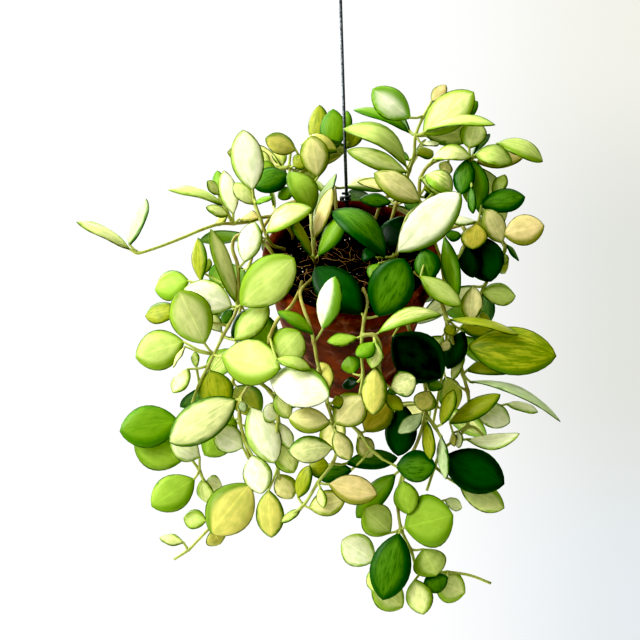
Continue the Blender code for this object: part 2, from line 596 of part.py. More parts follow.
def cage_template():
    """A ball of four meridians, split into triangles alike on the upper and the lower face."""
    mesh = bmesh.new()
    bmesh.ops.create_uvsphere(mesh, u_segments=CORNERS, v_segments=len(RINGS) + 1, radius=1.0)
    order = sorted(mesh.verts, key=lambda vert: (-round(vert.co.z, 4), math.atan2(vert.co.y, vert.co.x) % math.tau))
    for place, vert in enumerate(order):
        vert.index = place
    mesh.verts.sort()
    mesh.verts.ensure_lookup_table()
    for quad in [face for face in mesh.faces if len(face.verts) == 4]:
        edge_verts = [vert for vert in quad.verts if (vert.index - 1) % 2 == 0]
        near = min(edge_verts, key=lambda vert: vert.index)
        far = max((vert for vert in quad.verts if vert not in edge_verts), key=lambda vert: vert.index)
        bmesh.utils.face_split(quad, near, far)
    return mesh


def faces_of(mesh):
    """The mesh's faces as tuples of vertex numbers."""
    return [tuple(vert.index for vert in face.verts) for face in mesh.faces]


@dataclass
class Placed:
    """A shape already placed, for the test that nothing runs through it."""

    owner: str
    tree: BVHTree
    low: Vector
    high: Vector


def placed(owner, points, faces):
    """The shape's tree and box."""
    low = Vector(map(min, zip(*points)))
    high = Vector(map(max, zip(*points)))
    return Placed(owner, BVHTree.FromPolygons(points, faces), low, high)


def meets(one, other):
    """Whether two placed shapes run through each other."""
    apart = any(one.high[i] < other.low[i] or other.high[i] < one.low[i] for i in range(3))
    return not apart and bool(one.tree.overlap(other.tree))


SLIDES = (0, 5, -5, 10, -10, 16, -16, 23, -23, 31, -31)
TURNS = (0, 14, -14, 28, -28, 44, -44)
BOWS = (0, 0.07, -0.07, 0.15)
BLADE_START = 9


def moves():
    """Small changes of a leaf's tip depth, turn and arch, the smallest first."""
    every = [(slide, turn, bow) for slide in SLIDES for turn in TURNS for bow in BOWS]
    return sorted(every, key=lambda move: abs(move[0]) / 10 + abs(move[1]) / 16 + abs(move[2]) / 0.08)


def moved(blade, slide, turn, bow):
    """The blade with its tip slid, its face turned about its length and its arch changed."""
    tip = blade.tip + blade.slide * slide
    along = (tip - blade.base).normalized()
    face = (blade.face - along * blade.face.dot(along)).normalized()
    face = Matrix.Rotation(math.radians(turn), 3, along) @ face
    return replace(blade, tip=tip, face=face, arch=blade.arch + bow)


def settle(blade, owner, solid, blades, faces, choices):
    """The nearest form of the blade that is clear of other nodes, and of its own node's leaves if it can be."""
    blade_faces = [face for face in faces if min(face) >= BLADE_START]
    near = [shape for shape in solid if shape.owner != owner]
    mates = [shape for shape in blades if shape.owner == owner]
    spare = None
    for choice in choices:
        form = moved(blade, *choice)
        points = cage_points(form, CLEARANCE)
        whole = placed(owner, points, faces)
        if any(meets(whole, shape) for shape in near):
            continue
        part = placed(owner, points, blade_faces)
        if not any(meets(part, shape) for shape in mates):
            return form
        spare = spare or form
    return spare


def tube_shape(owner, path, radii, grow):
    """A plain tube round a path, for the clearance test."""
    points = []
    faces = []
    for step, spot in enumerate(path):
        along = (path[min(step + 1, len(path) - 1)] - path[max(step - 1, 0)]).normalized()
        side = along.orthogonal().normalized()
        over = along.cross(side)
        for corner in range(CORNERS):
            turn = math.tau * corner / CORNERS
            points.append(spot + (side * math.cos(turn) + over * math.sin(turn)) * (radii[step] + grow))
    for step in range(len(path) - 1):
        for corner in range(CORNERS):
            after = (corner + 1) % CORNERS
            low, high = step * CORNERS, (step + 1) * CORNERS
            faces.append((low + corner, low + after, high + after, high + corner))
    return placed(owner, points, faces)


def lay_out(table, fixed, faces):
    """Every vine's paths and settled blades. fixed holds the pot, the mix and the wires."""
    rng = random.Random(SEED)
    choices = moves()
    paths = {name: stem_paths(vine, STEM_SPACING) for name, vine in table.items()}
    solid = list(fixed)
    for name, shoots in paths.items():
        for path in shoots:
            radii = [stem_radius(path, step) for step in range(len(path))]
            solid.append(tube_shape(name, path[1:], radii[1:], CLEARANCE))
    wanted = []
    for name, vine in table.items():
        wanted += [(name, blade_of(leaf, paths[name])) for leaf in vine.leaves]
    for name, vine in table.items():
        wanted += [(name, blade) for blade in filling(vine, paths[name], rng)]
    leaves = []
    blades = {name: [] for name in table}
    blade_faces = [face for face in faces if min(face) >= BLADE_START]
    for name, blade in wanted:
        form = None
        for share in (1.0, 0.82, 0.66):
            tip = blade.base.lerp(blade.tip, 0.5 + 0.5 * share)
            smaller = replace(blade, tip=tip, wide=blade.wide * share)
            form = settle(smaller, name, solid, leaves, faces, choices)
            if form:
                break
        if not form:
            continue
        blades[name].append(form)
        points = cage_points(form)
        leaves.append(placed(name, points, blade_faces))
        solid.append(placed(name, points, faces))
    return paths, blades


def finish(name):
    """The material of a finish, made on its first use."""
    material = bpy.data.materials.get(name)
    if material:
        return material
    colour, roughness, metallic = FINISHES[name]
    material = bpy.data.materials.new(name)
    material.use_nodes = True
    shader = material.node_tree.nodes["Principled BSDF"]
    shader.inputs["Base Color"].default_value = (*colour, 1.0)
    shader.inputs["Roughness"].default_value = roughness
    shader.inputs["Metallic"].default_value = metallic
    material.diffuse_color = (*colour, 1.0)
    return material


def add_object(name, mesh, finishes, collection):
    """An object of the mesh, linked to the collection, with its materials."""
    obj = bpy.data.objects.new(name, mesh)
    for each in finishes:
        obj.data.materials.append(finish(each))
    collection.objects.link(obj)
    return obj


def solid_copy(obj):
    """The object's evaluated mesh in a new object, in place of the old one, with its caps welded."""
    bpy.context.view_layer.update()
    graph = bpy.context.evaluated_depsgraph_get()
    mesh = bpy.data.meshes.new_from_object(obj.evaluated_get(graph))
    work = bmesh.new()
    work.from_mesh(mesh)
    bmesh.ops.remove_doubles(work, verts=work.verts, dist=1e-6)
    bmesh.ops.triangulate(work, faces=work.faces, ngon_method="BEAUTY")
    bmesh.ops.recalc_face_normals(work, faces=work.faces)
    work.to_mesh(mesh)
    work.free()
    new = bpy.data.objects.new(obj.name, mesh)
    new.matrix_world = obj.matrix_world
    for collection in obj.users_collection:
        collection.objects.link(new)
    name = obj.name
    bpy.data.objects.remove(obj)
    new.name = name
    return new


def tube(name, points, radii, finish_name, collection, bevel_resolution=1):
    """A wire or stem: a poly curve with a round bevel, thinned by its points' radii, made a mesh."""
    curve = bpy.data.curves.new(name, "CURVE")
    curve.dimensions = "3D"
    curve.bevel_depth = MM
    curve.bevel_resolution = bevel_resolution
    curve.use_fill_caps = True
    spline = curve.splines.new("POLY")
    spline.points.add(len(points) - 1)
    for spot, place, radius in zip(spline.points, points, radii):
        spot.co = (*(place * MM), 1.0)
        spot.radius = radius
    return solid_copy(add_object(name, curve, [finish_name], collection))


def turned(name, profile, steps, finish_name, collection, place, closed):
    """A turned shape: the profile's (radius, height) points round the pot's axis."""
    mesh = bpy.data.meshes.new(name)
    work = bmesh.new()
    spots = [work.verts.new((radius * MM, 0, height * MM)) for radius, height in profile]
    for start, end in zip(spots, spots[1:]):
        work.edges.new((start, end))
    if closed:
        work.edges.new((spots[-1], spots[0]))
    work.to_mesh(mesh)
    work.free()
    obj = add_object(name, mesh, [finish_name], collection)
    screw = obj.modifiers.new("turn", "SCREW")
    screw.steps = steps
    screw.render_steps = steps
    screw.use_merge_vertices = True
    screw.merge_threshold = 1e-5
    obj.matrix_world = place
    return solid_copy(obj)


def pot_place():
    """The pot's own frame in the world."""
    turn = Matrix((RIGHT, POT_BACK, POT_AXIS)).transposed().to_4x4()
    return Matrix.Translation(RIM_CENTRE * MM) @ turn


def inner_radius(height):
    """Radius of the pot's inner wall at a height below the rim."""
    top = RIM_RADIUS - WALL
    bottom = BASE_RADIUS - WALL + 1.0
    return top + (bottom - top) * -height / (POT_HEIGHT - FLOOR)


def build_pot(collection):
    """The clay pot: collar, tapered wall, floor and drain hole."""
    body = RIM_RADIUS - COLLAR_STEP
    floor = -POT_HEIGHT + FLOOR
    profile = [
        (RIM_RADIUS - 1.2, 0.0),
        (RIM_RADIUS, -1.2),
        (RIM_RADIUS - 0.6, -COLLAR_HEIGHT + 1.0),
        (RIM_RADIUS - 1.4, -COLLAR_HEIGHT),
        (body, -COLLAR_HEIGHT - 0.8),
        (BASE_RADIUS + 0.8, -POT_HEIGHT + 1.5),
        (BASE_RADIUS - 0.8, -POT_HEIGHT),
        (DRAIN_RADIUS, -POT_HEIGHT),
        (DRAIN_RADIUS, floor),
        (inner_radius(floor) - 2.0, floor),
        (inner_radius(floor + 2.0), floor + 2.0),
        (inner_radius(-1.2), -1.2),
        (inner_radius(0.0) + 1.0, 0.0),
    ]
    return turned("pot", profile, POT_STEPS, "clay", collection, pot_place(), True)


def build_mix(collection, cutters):
    """The mix: a plug that fills the pot, uneven on top, with plain holes for the stems and the wire."""
    floor = -POT_HEIGHT + FLOOR + SEAT_GAP
    wall_top = -MIX_DEPTH - 2.5
    profile = [
        (0.0, -MIX_DEPTH),
        (16.0, -MIX_DEPTH),
        (31.0, -MIX_DEPTH),
        (42.0, -MIX_DEPTH),
        (inner_radius(wall_top) - SEAT_GAP - 0.2, wall_top),
        (inner_radius(floor + 2.0) - SEAT_GAP - 0.2, floor + 2.0),
        (inner_radius(floor) - 2.6, floor),
        (0.0, floor),
    ]
    mix = turned("potting_mix", profile, MIX_STEPS, "mix", collection, pot_place(), False)
    for vert in mix.data.vertices:
        if vert.co.z > wall_top * MM + 1e-5:
            x, y = vert.co.x / MM, vert.co.y / MM
            vert.co.z = mix_height(x, y) * MM
    return cut(mix, cutters)


def cut(obj, cutters):
    """The object less the cutters, applied."""
    modifier = obj.modifiers.new("holes", "BOOLEAN")
    modifier.operation = "DIFFERENCE"
    modifier.operand_type = "COLLECTION"
    modifier.collection = cutters
    modifier.solver = "EXACT"
    return solid_copy(obj)


def hole(name, start, end, radius, cutters):
    """A round cutter along a straight stretch."""
    drill = tube(name, [start, end], [radius, radius], "mix", cutters)
    drill.hide_render = True
    drill.display_type = "WIRE"
    return drill


def leg_ends():
    """The straight leg in the mix, along the pot's inner wall."""
    return in_pot(LEG_X, LEG_Y + 0.6, -1.5), in_pot(LEG_X, LEG_Y - 3.5, LEG_END)


def stem_line(height):
    """A point on the hanger's straight stretch, so far above the ferrule's lower end."""
    return STEM_TOP + (STEM_TOP - HANGER_FOOT).normalized() * height


def hook_points():
    """The hook's centre line: its arc over the bearing point, and the bend into the ferrule."""
    centre = Vector((0.0, 0.0, WIRE_RADIUS - HOOK_RADIUS))
    tip = [centre + Vector((-HOOK_RADIUS - 1.5, 0, -9)), centre + Vector((-HOOK_RADIUS - 0.2, 0, -4.5))]
    arc = [
        centre + HOOK_RADIUS * Vector((math.cos(turn), 0, math.sin(turn)))
        for turn in (math.radians(180 - 15 * step) for step in range(13))
    ]
    bend = [Vector((12.2, 0.2, -18.0)), Vector((8.6, 0.6, -22.5)), Vector((3.8, 1.0, -25.4))]
    return [*tip, *arc, *bend, stem_line(FERRULE_LENGTH), stem_line(FERRULE_LENGTH - 1.5)]


def wire_points():
    """The hanger's centre line: the straight stretch, over the soil and down inside the back wall."""
    neck = in_pot(LEG_X, LEG_Y + 2.2, 0.8)
    top, end = leg_ends()
    return [stem_line(SOCKET_DEPTH - 0.5), HANGER_FOOT + Vector((-0.1, -0.4, 3.0)), HANGER_FOOT, neck, top, end]


def clip_points():
    """The clip's centre line: twisted down the stem, over the rim, and curled in under the collar."""
    axis = (STEM_TOP - HANGER_FOOT).normalized()
    side = axis.cross(POT_BACK).normalized()
    over = side.cross(axis)
    pitch = 2.6
    turns = 2.0
    gap = 2 * WIRE_RADIUS + SEAT_GAP
    coil = []
    count = 12
    for step in range(count + 1):
        turn = math.tau * turns * step / count
        height = 7.0 - pitch * turns * step / count
        way = side * math.cos(turn) + over * math.sin(turn)
        coil.append(HANGER_FOOT + axis * height + way * gap)
    x = LEG_X - 3.6
    outside = RIM_RADIUS + WIRE_RADIUS + SEAT_GAP
    under = -COLLAR_HEIGHT - 0.8 - WIRE_RADIUS - SEAT_GAP
    down = [
        in_pot(x + 1.0, LEG_Y + 7.0, 4.5),
        in_pot(x, outside - 2.0, 2.4),
        in_pot(x, outside, -1.0),
        in_pot(x, outside, -COLLAR_HEIGHT + 1.0),
        in_pot(x + 0.6, outside - 1.2, under + 0.2),
        in_pot(x + 5.5, outside - 2.4, under - 0.3),
    ]
    return [*coil, *smooth([coil[-1], *down], 3.0)[1:]]


def build_hanger(collection):
    """The hook with its ferrule, the wire that hangs in it, and the clip that grips the collar."""
    wire = wire_points()
    clip = clip_points()
    tube("wire_hanger", wire, [WIRE_RADIUS] * len(wire), "wire", collection, 2)
    tube("hanger_clip", clip, [WIRE_RADIUS * 0.8] * len(clip), "wire", collection, 1)
    parts = bpy.data.collections.new("hook_pieces")
    socket = bpy.data.collections.new("hook_socket")
    bpy.context.scene.collection.children.link(parts)
    bpy.context.scene.collection.children.link(socket)
    ends = [stem_line(0.0), stem_line(FERRULE_LENGTH)]
    tube("ferrule", ends, [FERRULE_RADIUS] * 2, "wire", parts, 3)
    bore = hole("bore", stem_line(-4.0), stem_line(SOCKET_DEPTH), WIRE_RADIUS + SEAT_GAP, socket)
    points = hook_points()
    hook = tube("hook", points, [WIRE_RADIUS] * len(points), "wire", collection, 2)
    hook = join(hook, parts, "EXACT")
    cut(hook, socket)
    bpy.data.objects.remove(bore)
    bpy.data.collections.remove(socket)


def join(main, pieces, solver):
    """The object and the collection's pieces in a single union, with the pieces removed."""
    modifier = main.modifiers.new("join", "BOOLEAN")
    modifier.operation = "UNION"
    modifier.operand_type = "COLLECTION"
    modifier.collection = pieces
    modifier.solver = solver
    joined = solid_copy(main)
    for piece in list(pieces.objects):
        bpy.data.objects.remove(piece)
    bpy.data.collections.remove(pieces)
    return joined


def build_vine(name, paths, blades, template, collection):
    """One leafy stem: its shoots and leaves joined in a single union."""
    parts = bpy.data.collections.new(name + "_pieces")
    bpy.context.scene.collection.children.link(parts)
    for number, path in enumerate(paths):
        radii = [stem_radius(path, step) for step in range(len(path))]
        tube(f"{name}_shoot_{number}", path, radii, "stem", parts, 0)
    for number, blade in enumerate(blades):
        points = cage_points(blade)
        for vert in template.verts:
            vert.co = points[vert.index] * MM
        mesh = bpy.data.meshes.new(f"{name}_leaf_{number}")
        template.to_mesh(mesh)
        piece = add_object(mesh.name, mesh, ["leaf"], parts)
        face_out(piece)
    main = parts.objects[f"{name}_shoot_0"]
    collection.objects.link(main)
    parts.objects.unlink(main)
    main.name = name
    join(main, parts, "MANIFOLD")


def face_out(obj):
    """Turns the mesh's faces outwards."""
    work = bmesh.new()
    work.from_mesh(obj.data)
    bmesh.ops.recalc_face_normals(work, faces=work.faces)
    work.to_mesh(obj.data)
    work.free()


def obstacle(obj):
    """A built object as a placed shape, in millimetres."""
    points = [obj.matrix_world @ vert.co / MM for vert in obj.data.vertices]
    return placed(obj.name, points, [tuple(face.vertices) for face in obj.data.polygons])


def build():
    """Clears the scene and builds the potted plant."""
    for obj in list(bpy.data.objects):
        bpy.data.objects.remove(obj)
    collection = bpy.data.collections.new("potted_hoya")
    cutters = bpy.data.collections.new("cutters")
    bpy.context.scene.collection.children.link(collection)
    bpy.context.scene.collection.children.link(cutters)
    table = vines()
    for name, vine in table.items():
        x, y = vine.root
        surface = mix_height(x, y)
        foot = in_pot(x, y, surface - ROOT_DEPTH - SEAT_GAP)
        hole(name + "_hole", foot, in_pot(x, y, surface + 6), STEM_RADIUS + SEAT_GAP, cutters)
    top, end = leg_ends()
    way = (end - top).normalized()
    hole("leg_hole", end + way * SEAT_GAP, top - way * 12, WIRE_RADIUS + SEAT_GAP, cutters)
    build_pot(collection)
    build_mix(collection, cutters)
    build_hanger(collection)
    fixed = [obstacle(obj) for obj in collection.objects]
    template = cage_template()
    paths, blades = lay_out(table, fixed, faces_of(template))
    for name in table:
        build_vine(name, paths[name], blades[name], template, collection)
    template.free()


build()
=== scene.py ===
"""Dresses the potted Hoya heuschkeliana: waxy leaves, stems, clay pot, bark mix and hanging wire.

Lengths in the tables are in millimetres. A leaf or a stem is placed in the sight frame: u to the right
and v up across the front view, in the plane of the rim's centre, and d towards the camera.
"""

import json
import logging
import math
import random
from collections.abc import Iterator
from dataclasses import dataclass, field, replace
from enum import Enum
from functools import partial

import bmesh
import bpy
from mathutils import Matrix, Vector, noise
from mathutils.kdtree import KDTree

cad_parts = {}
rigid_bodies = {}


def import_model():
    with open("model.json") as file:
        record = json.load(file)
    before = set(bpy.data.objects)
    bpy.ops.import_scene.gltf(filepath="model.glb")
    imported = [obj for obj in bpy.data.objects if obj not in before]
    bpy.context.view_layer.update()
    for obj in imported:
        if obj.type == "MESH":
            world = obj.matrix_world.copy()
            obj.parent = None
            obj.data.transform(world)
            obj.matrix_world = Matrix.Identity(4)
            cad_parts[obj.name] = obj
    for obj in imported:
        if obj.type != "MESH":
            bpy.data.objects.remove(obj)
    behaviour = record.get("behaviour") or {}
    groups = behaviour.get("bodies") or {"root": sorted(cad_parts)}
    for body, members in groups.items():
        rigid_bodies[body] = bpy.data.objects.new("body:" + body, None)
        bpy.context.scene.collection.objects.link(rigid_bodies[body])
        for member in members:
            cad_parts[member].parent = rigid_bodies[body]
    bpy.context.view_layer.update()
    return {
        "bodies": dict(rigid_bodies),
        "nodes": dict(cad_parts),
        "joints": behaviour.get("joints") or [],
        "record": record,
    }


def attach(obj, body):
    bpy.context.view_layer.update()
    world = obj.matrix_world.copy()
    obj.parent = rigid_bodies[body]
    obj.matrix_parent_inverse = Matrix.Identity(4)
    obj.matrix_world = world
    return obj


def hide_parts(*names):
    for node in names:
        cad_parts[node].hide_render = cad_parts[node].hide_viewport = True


log = logging.getLogger("potted_hoya")

MM = 0.001
SEED = 7

# The pot and its mix
RIM_RADIUS = 55.0
POT_HEIGHT = 95.0
COLLAR_HEIGHT = 13.0
COLLAR_STEP = 3.0
BASE_RADIUS = 35.0
WALL = 5.5
FLOOR = 6.0
DRAIN_RADIUS = 6.0
POT_TILT = math.radians(35.0)
TURNED_STEPS = 96
WALL_RINGS = 24
THROWING_LINES = 0.10
MIX_DEPTH = 3.5
MIX_RINGS = 26
CRUMB_HEIGHT = 1.6
MIX_GAP = 0.5
SEAT_GAP = 0.3

# The litter on the mix
CHIP_COUNT = 260
GRIT_COUNT = 70
LITTER_RADIUS = 5.0
FIBRE_COUNT = 85
FIBRE_FIELD = 40.0
FIBRE_LIMIT = 45.0
FIBRE_STEPS = 8
FIBRE_STRIDE = 2.3

# The hanger and its clip
WIRE_RADIUS = 1.0
WIRE_BEVEL = 6
HOOK_RADIUS = 13.0
HOOK_STEPS = 12
HANGER_FOOT = Vector((6.0, 14.0, -168.0))
STEM_TOP = Vector((1.4, 2.0, -36.0))
FERRULE_LENGTH = 9.0
FERRULE_RADIUS = 2.1
SOCKET_DEPTH = 5.5
LEG_X = -1.5
LEG_Y = 44.0
LEG_END = -26.0
CLIP_RISE = 7.0
CLIP_PITCH = 2.6
CLIP_TURNS = 2.0
CLIP_STEPS = 48
CLIP_RADIUS = 0.8

# The front view: a 90 mm lens at a metre, looking 10 degrees down
VIEW_PITCH = math.radians(10.0)
VIEW_RANGE = 1000.0
VIEW_CENTRE = (-18.75, -39.4)
VIEW_LENS = 90.0
VIEW_SENSOR = 36.0

# The stems and the leaves' stalks
ROOT_DEPTH = 14.0
STEM_SPACING = 11.0
STEM_FINER = 4
STEM_RADIUS = 1.4
TIP_RADIUS = 0.95
STEM_SHARE = 0.9
JOINT_SWELL = 0.35
JOINT_REACH = 1.8
TIP_YOUTH = 0.75
SHOOT_AGE = 0.6
STALK_AGE = 0.05
STALK_RADII = (1.0, 0.75, 0.8, 0.45)
STALK_SAG = 0.06
STALK_SINK = 2.5
STALK_REACH = 5.0
STALK_LEAST = 3.0
PETIOLE_RADIUS = 0.85

# The leaves that a rule places
FILL_TURN = 50.0
FILL_SPREAD = (48, 72)
FILL_DROP = (-0.35, 0.15)
FILL_LENGTH = (32, 42)
FILL_STALK = (5, 8)
FILL_WIDTH = (0.5, 0.62)
FILL_ARCH = (0.05, 0.14)
FILL_FOLD = 0.16

# The coarse blade of the solids, and the small changes by which they clear their leaves
BLADE_HALF_THICKNESS = 0.85
BLADE_RINGS = (0.22, 0.52, 0.82)
SLIDES = (0, 5, -5, 10, -10, 16, -16, 23, -23, 31, -31)
TURNS = (0, 14, -14, 28, -28, 44, -44)
BOWS = (0, 0.07, -0.07, 0.15)
SHARES = (1.0, 0.82, 0.66)
SAME_SPOT = 0.03
TIP_WORTH = 3
FEWEST_HELD = 2
ENOUGH_HELD = 9

# The finer leaf
LEAF_COLUMNS = 6
LEAF_ROWS = 12
LEAF_HALF_THICKNESS = 0.55
TIP_HALF_WIDTH = 0.15
EDGE_WAVE = 0.35
GROOVE_DEPTH = 0.35
GROOVE_WIDTH = 1.1
SIDE_LEAN = 0.55
TINT_RANGE = 0.10
SEED_STEP = 0.618
SEED_OF_NAME = 0.137

RIGHT = Vector((1.0, 0.0, 0.0))
VIEW_UP = Vector((0.0, math.sin(VIEW_PITCH), math.cos(VIEW_PITCH)))
TOWARD = Vector((0.0, -math.cos(VIEW_PITCH), math.sin(VIEW_PITCH)))
POT_AXIS = Vector((0.0, -math.sin(POT_TILT), math.cos(POT_TILT)))
POT_BACK = Vector((0.0, math.cos(POT_TILT), math.sin(POT_TILT)))
RIM_CENTRE = HANGER_FOOT - LEG_X * RIGHT - (LEG_Y + 3.5) * POT_BACK - 2.5 * POT_AXIS
POT_PLACE = Matrix.Translation(RIM_CENTRE * MM) @ (
    Matrix((RIGHT, POT_BACK, POT_AXIS)).transposed() * MM
).to_4x4()
WIRE_AXIS = (STEM_TOP - HANGER_FOOT).normalized()


def linear(code: str) -> tuple[float, float, float, float]:
    """Turns an sRGB hex colour to linear.

    Args:
        code: the colour as "#rrggbb".

    Returns:
        Red, green, blue and an alpha of 1.
    """
    parts = [int(code[start:start + 2], 16) / 255 for start in (1, 3, 5)]
    red, green, blue = (
        part / 12.92 if part <= 0.04045 else ((part + 0.055) / 1.055) ** 2.4 for part in parts
    )
    return red, green, blue, 1.0


def sight(u: float, v: float, d: float) -> Vector:
    """Finds a place by where it shows in the front view.

    Args:
        u: how far it shows to the right of the rim's centre, in millimetres.
        v: how far it shows above the rim's centre.
        d: how much nearer to the viewer it is than the rim's centre.

    Returns:
        The place.
    """
    near = 1.0 - d / VIEW_RANGE
    across = VIEW_CENTRE[0] + (u - VIEW_CENTRE[0]) * near
    height = VIEW_CENTRE[1] + (v - VIEW_CENTRE[1]) * near
    return RIM_CENTRE + RIGHT * across + VIEW_UP * height + TOWARD * d


def in_pot(x: float, y: float, h: float) -> Vector:
    """A place in the pot's own frame: x to the right, y to its back, h above the rim."""
    return RIM_CENTRE + RIGHT * x + POT_BACK * y + POT_AXIS * h


def mix_height(x: float, y: float) -> float:
    """Height of the mix above the rim: low at the front wall, heaped towards the back.

    Args:
        x: the place's distance to the right, in the pot's own frame.
        y: its distance to the pot's back.

    Returns:
        The height, in millimetres.
    """
    heap = 3.0 * y / RIM_RADIUS
    lumps = 0.7 * math.sin(0.31 * x + 1.0) * math.cos(0.27 * y)
    return -MIX_DEPTH + heap + lumps


def inner_radius(height: float) -> float:
    """Radius of the pot's inner wall.

    Args:
        height: the height above the rim, so a negative one in the pot.

    Returns:
        The radius, in millimetres.
    """
    top = RIM_RADIUS - WALL
    bottom = BASE_RADIUS - WALL + 1.0
    return top + (bottom - top) * -height / (POT_HEIGHT - FLOOR)


def connect(tree: bpy.types.NodeTree, node: bpy.types.Node, inputs: dict) -> None:
    """Sets inputs of a node.

    Args:
        tree: the node's tree.
        node: the node.
        inputs: a value, or another node's output to link, for each input by name or number.

    Returns:
        Nothing.
    """
    for name, value in inputs.items():
        if isinstance(value, bpy.types.NodeSocket):
            tree.links.new(value, node.inputs[name])
        else:
            node.inputs[name].default_value = value


def add_node(
    tree: bpy.types.NodeTree, kind: str, inputs: dict | tuple = (), out: int | str = 0, **settings: object
) -> bpy.types.NodeSocket:
    """Adds a shader node with its settings and links.

    Args:
        tree: the node tree that it goes in.
        kind: Blender's name for the node's type, after "ShaderNode".
        inputs: a value, or another node's output, for each input in order, or by name or number.
        out: the output that is wanted.
        settings: values for the node's own properties.

    Returns:
        The output.
    """
    node = tree.nodes.new("ShaderNode" + kind)
    for name, value in settings.items():
        setattr(node, name, value)
    connect(tree, node, inputs if isinstance(inputs, dict) else dict(enumerate(inputs)))
    return node.outputs[out]


class Look(Enum):
    """How a leaf is variegated, and for the two darkest looks also painted shade: its body and margin
    colours, the margin's share, streaks, and lean.
    """

    LIME = ("#c8d684", "#88a632", 0.28, 0.20, 0.0)
    PALE = ("#e6eaac", "#93b03c", 0.30, 0.20, 0.0)
    WHITE = ("#f4f4da", "#a8c25e", 0.17, 0.10, 0.0)
    CREAM = ("#e8e2a8", "#8ea034", 0.25, 0.15, 0.0)
    FRESH = ("#a8c452", "#7ca02c", 0.30, 0.20, 0.0)
    GREEN = ("#84a82e", "#558614", 0.30, 0.30, 0.0)
    DEEP = ("#64902a", "#205a0c", 0.34, 0.40, 0.0)
    # Dark green: partly the leaves' own colour, and partly painted shade where they hang among other leaves
    DARK_AND_SHADED = ("#1a5a12", "#0a3a08", 0.35, 0.30, 0.0)
    # Near black: painted deep shade for leaves that hang in shadow, with a little of their own dark green
    SHADE_BLACK = ("#08200d", "#124a1a", 0.12, 0.10, 0.0)
    YELLOW = ("#cec25a", "#7e8c24", 0.20, 0.25, 0.0)
    GOLD = ("#d6d07a", "#74902a", 0.20, 0.15, 0.0)
    EDGED = ("#e2e4aa", "#5c8420", 0.16, 0.20, 0.12)
    BRIGHT = ("#f6f5da", "#7ea03c", 0.14, 0.10, 0.0)
    OLIVE = ("#a8ac38", "#5c8018", 0.16, 0.35, 0.0)
    STREAKED = ("#b0b438", "#5e8312", 0.06, 0.65, 0.0)
    MINT = ("#c2d0a0", "#547c2c", 0.10, 0.12, 0.10)
    PEACH = ("#decf9a", "#94983a", 0.20, 0.20, 0.0)
    SPLASHED = ("#e8e8a8", "#8cb03a", 0.36, 0.50, 0.2)
    HALVED = ("#f4f5dc", "#84b03c", 0.50, 0.10, 0.55)


FILL_LOOKS = (
    Look.GREEN, Look.DEEP, Look.LIME, Look.OLIVE, Look.CREAM, Look.GREEN, Look.SPLASHED, Look.EDGED,
)


@dataclass(frozen=True)
class Leaf:
    """A leaf in the sight frame: base and tip across the view, its look, its depth and how it is turned."""

    base: tuple[float, float]
    tip: tuple[float, float]
    look: Look
    depth: float
    lean: float = 0.0
    wide: float = 18.0
    roll: float = 20.0
    arch: float = 0.08
    fold: float = 0.18


@dataclass
class Vine:
    """One rooted stem: where it leaves the mix, the routes of its shoots, its leaves and its woodiness."""

    root: tuple[float, float]
    route: list[tuple[float, float, float]]
    shoots: list[list[tuple[float, float, float]]] = field(default_factory=list)
    leaves: list[Leaf] = field(default_factory=list)
    filled: tuple[int, int] = (0, 0)
    woody: float = 0.3


@dataclass(frozen=True)
class Blade:
    """A leaf in space: where its stalk starts, its base and tip, and the way its face points."""

    stalk: Vector
    base: Vector
    tip: Vector
    face: Vector
    slide: Vector
    wide: float
    arch: float
    fold: float
    look: Look


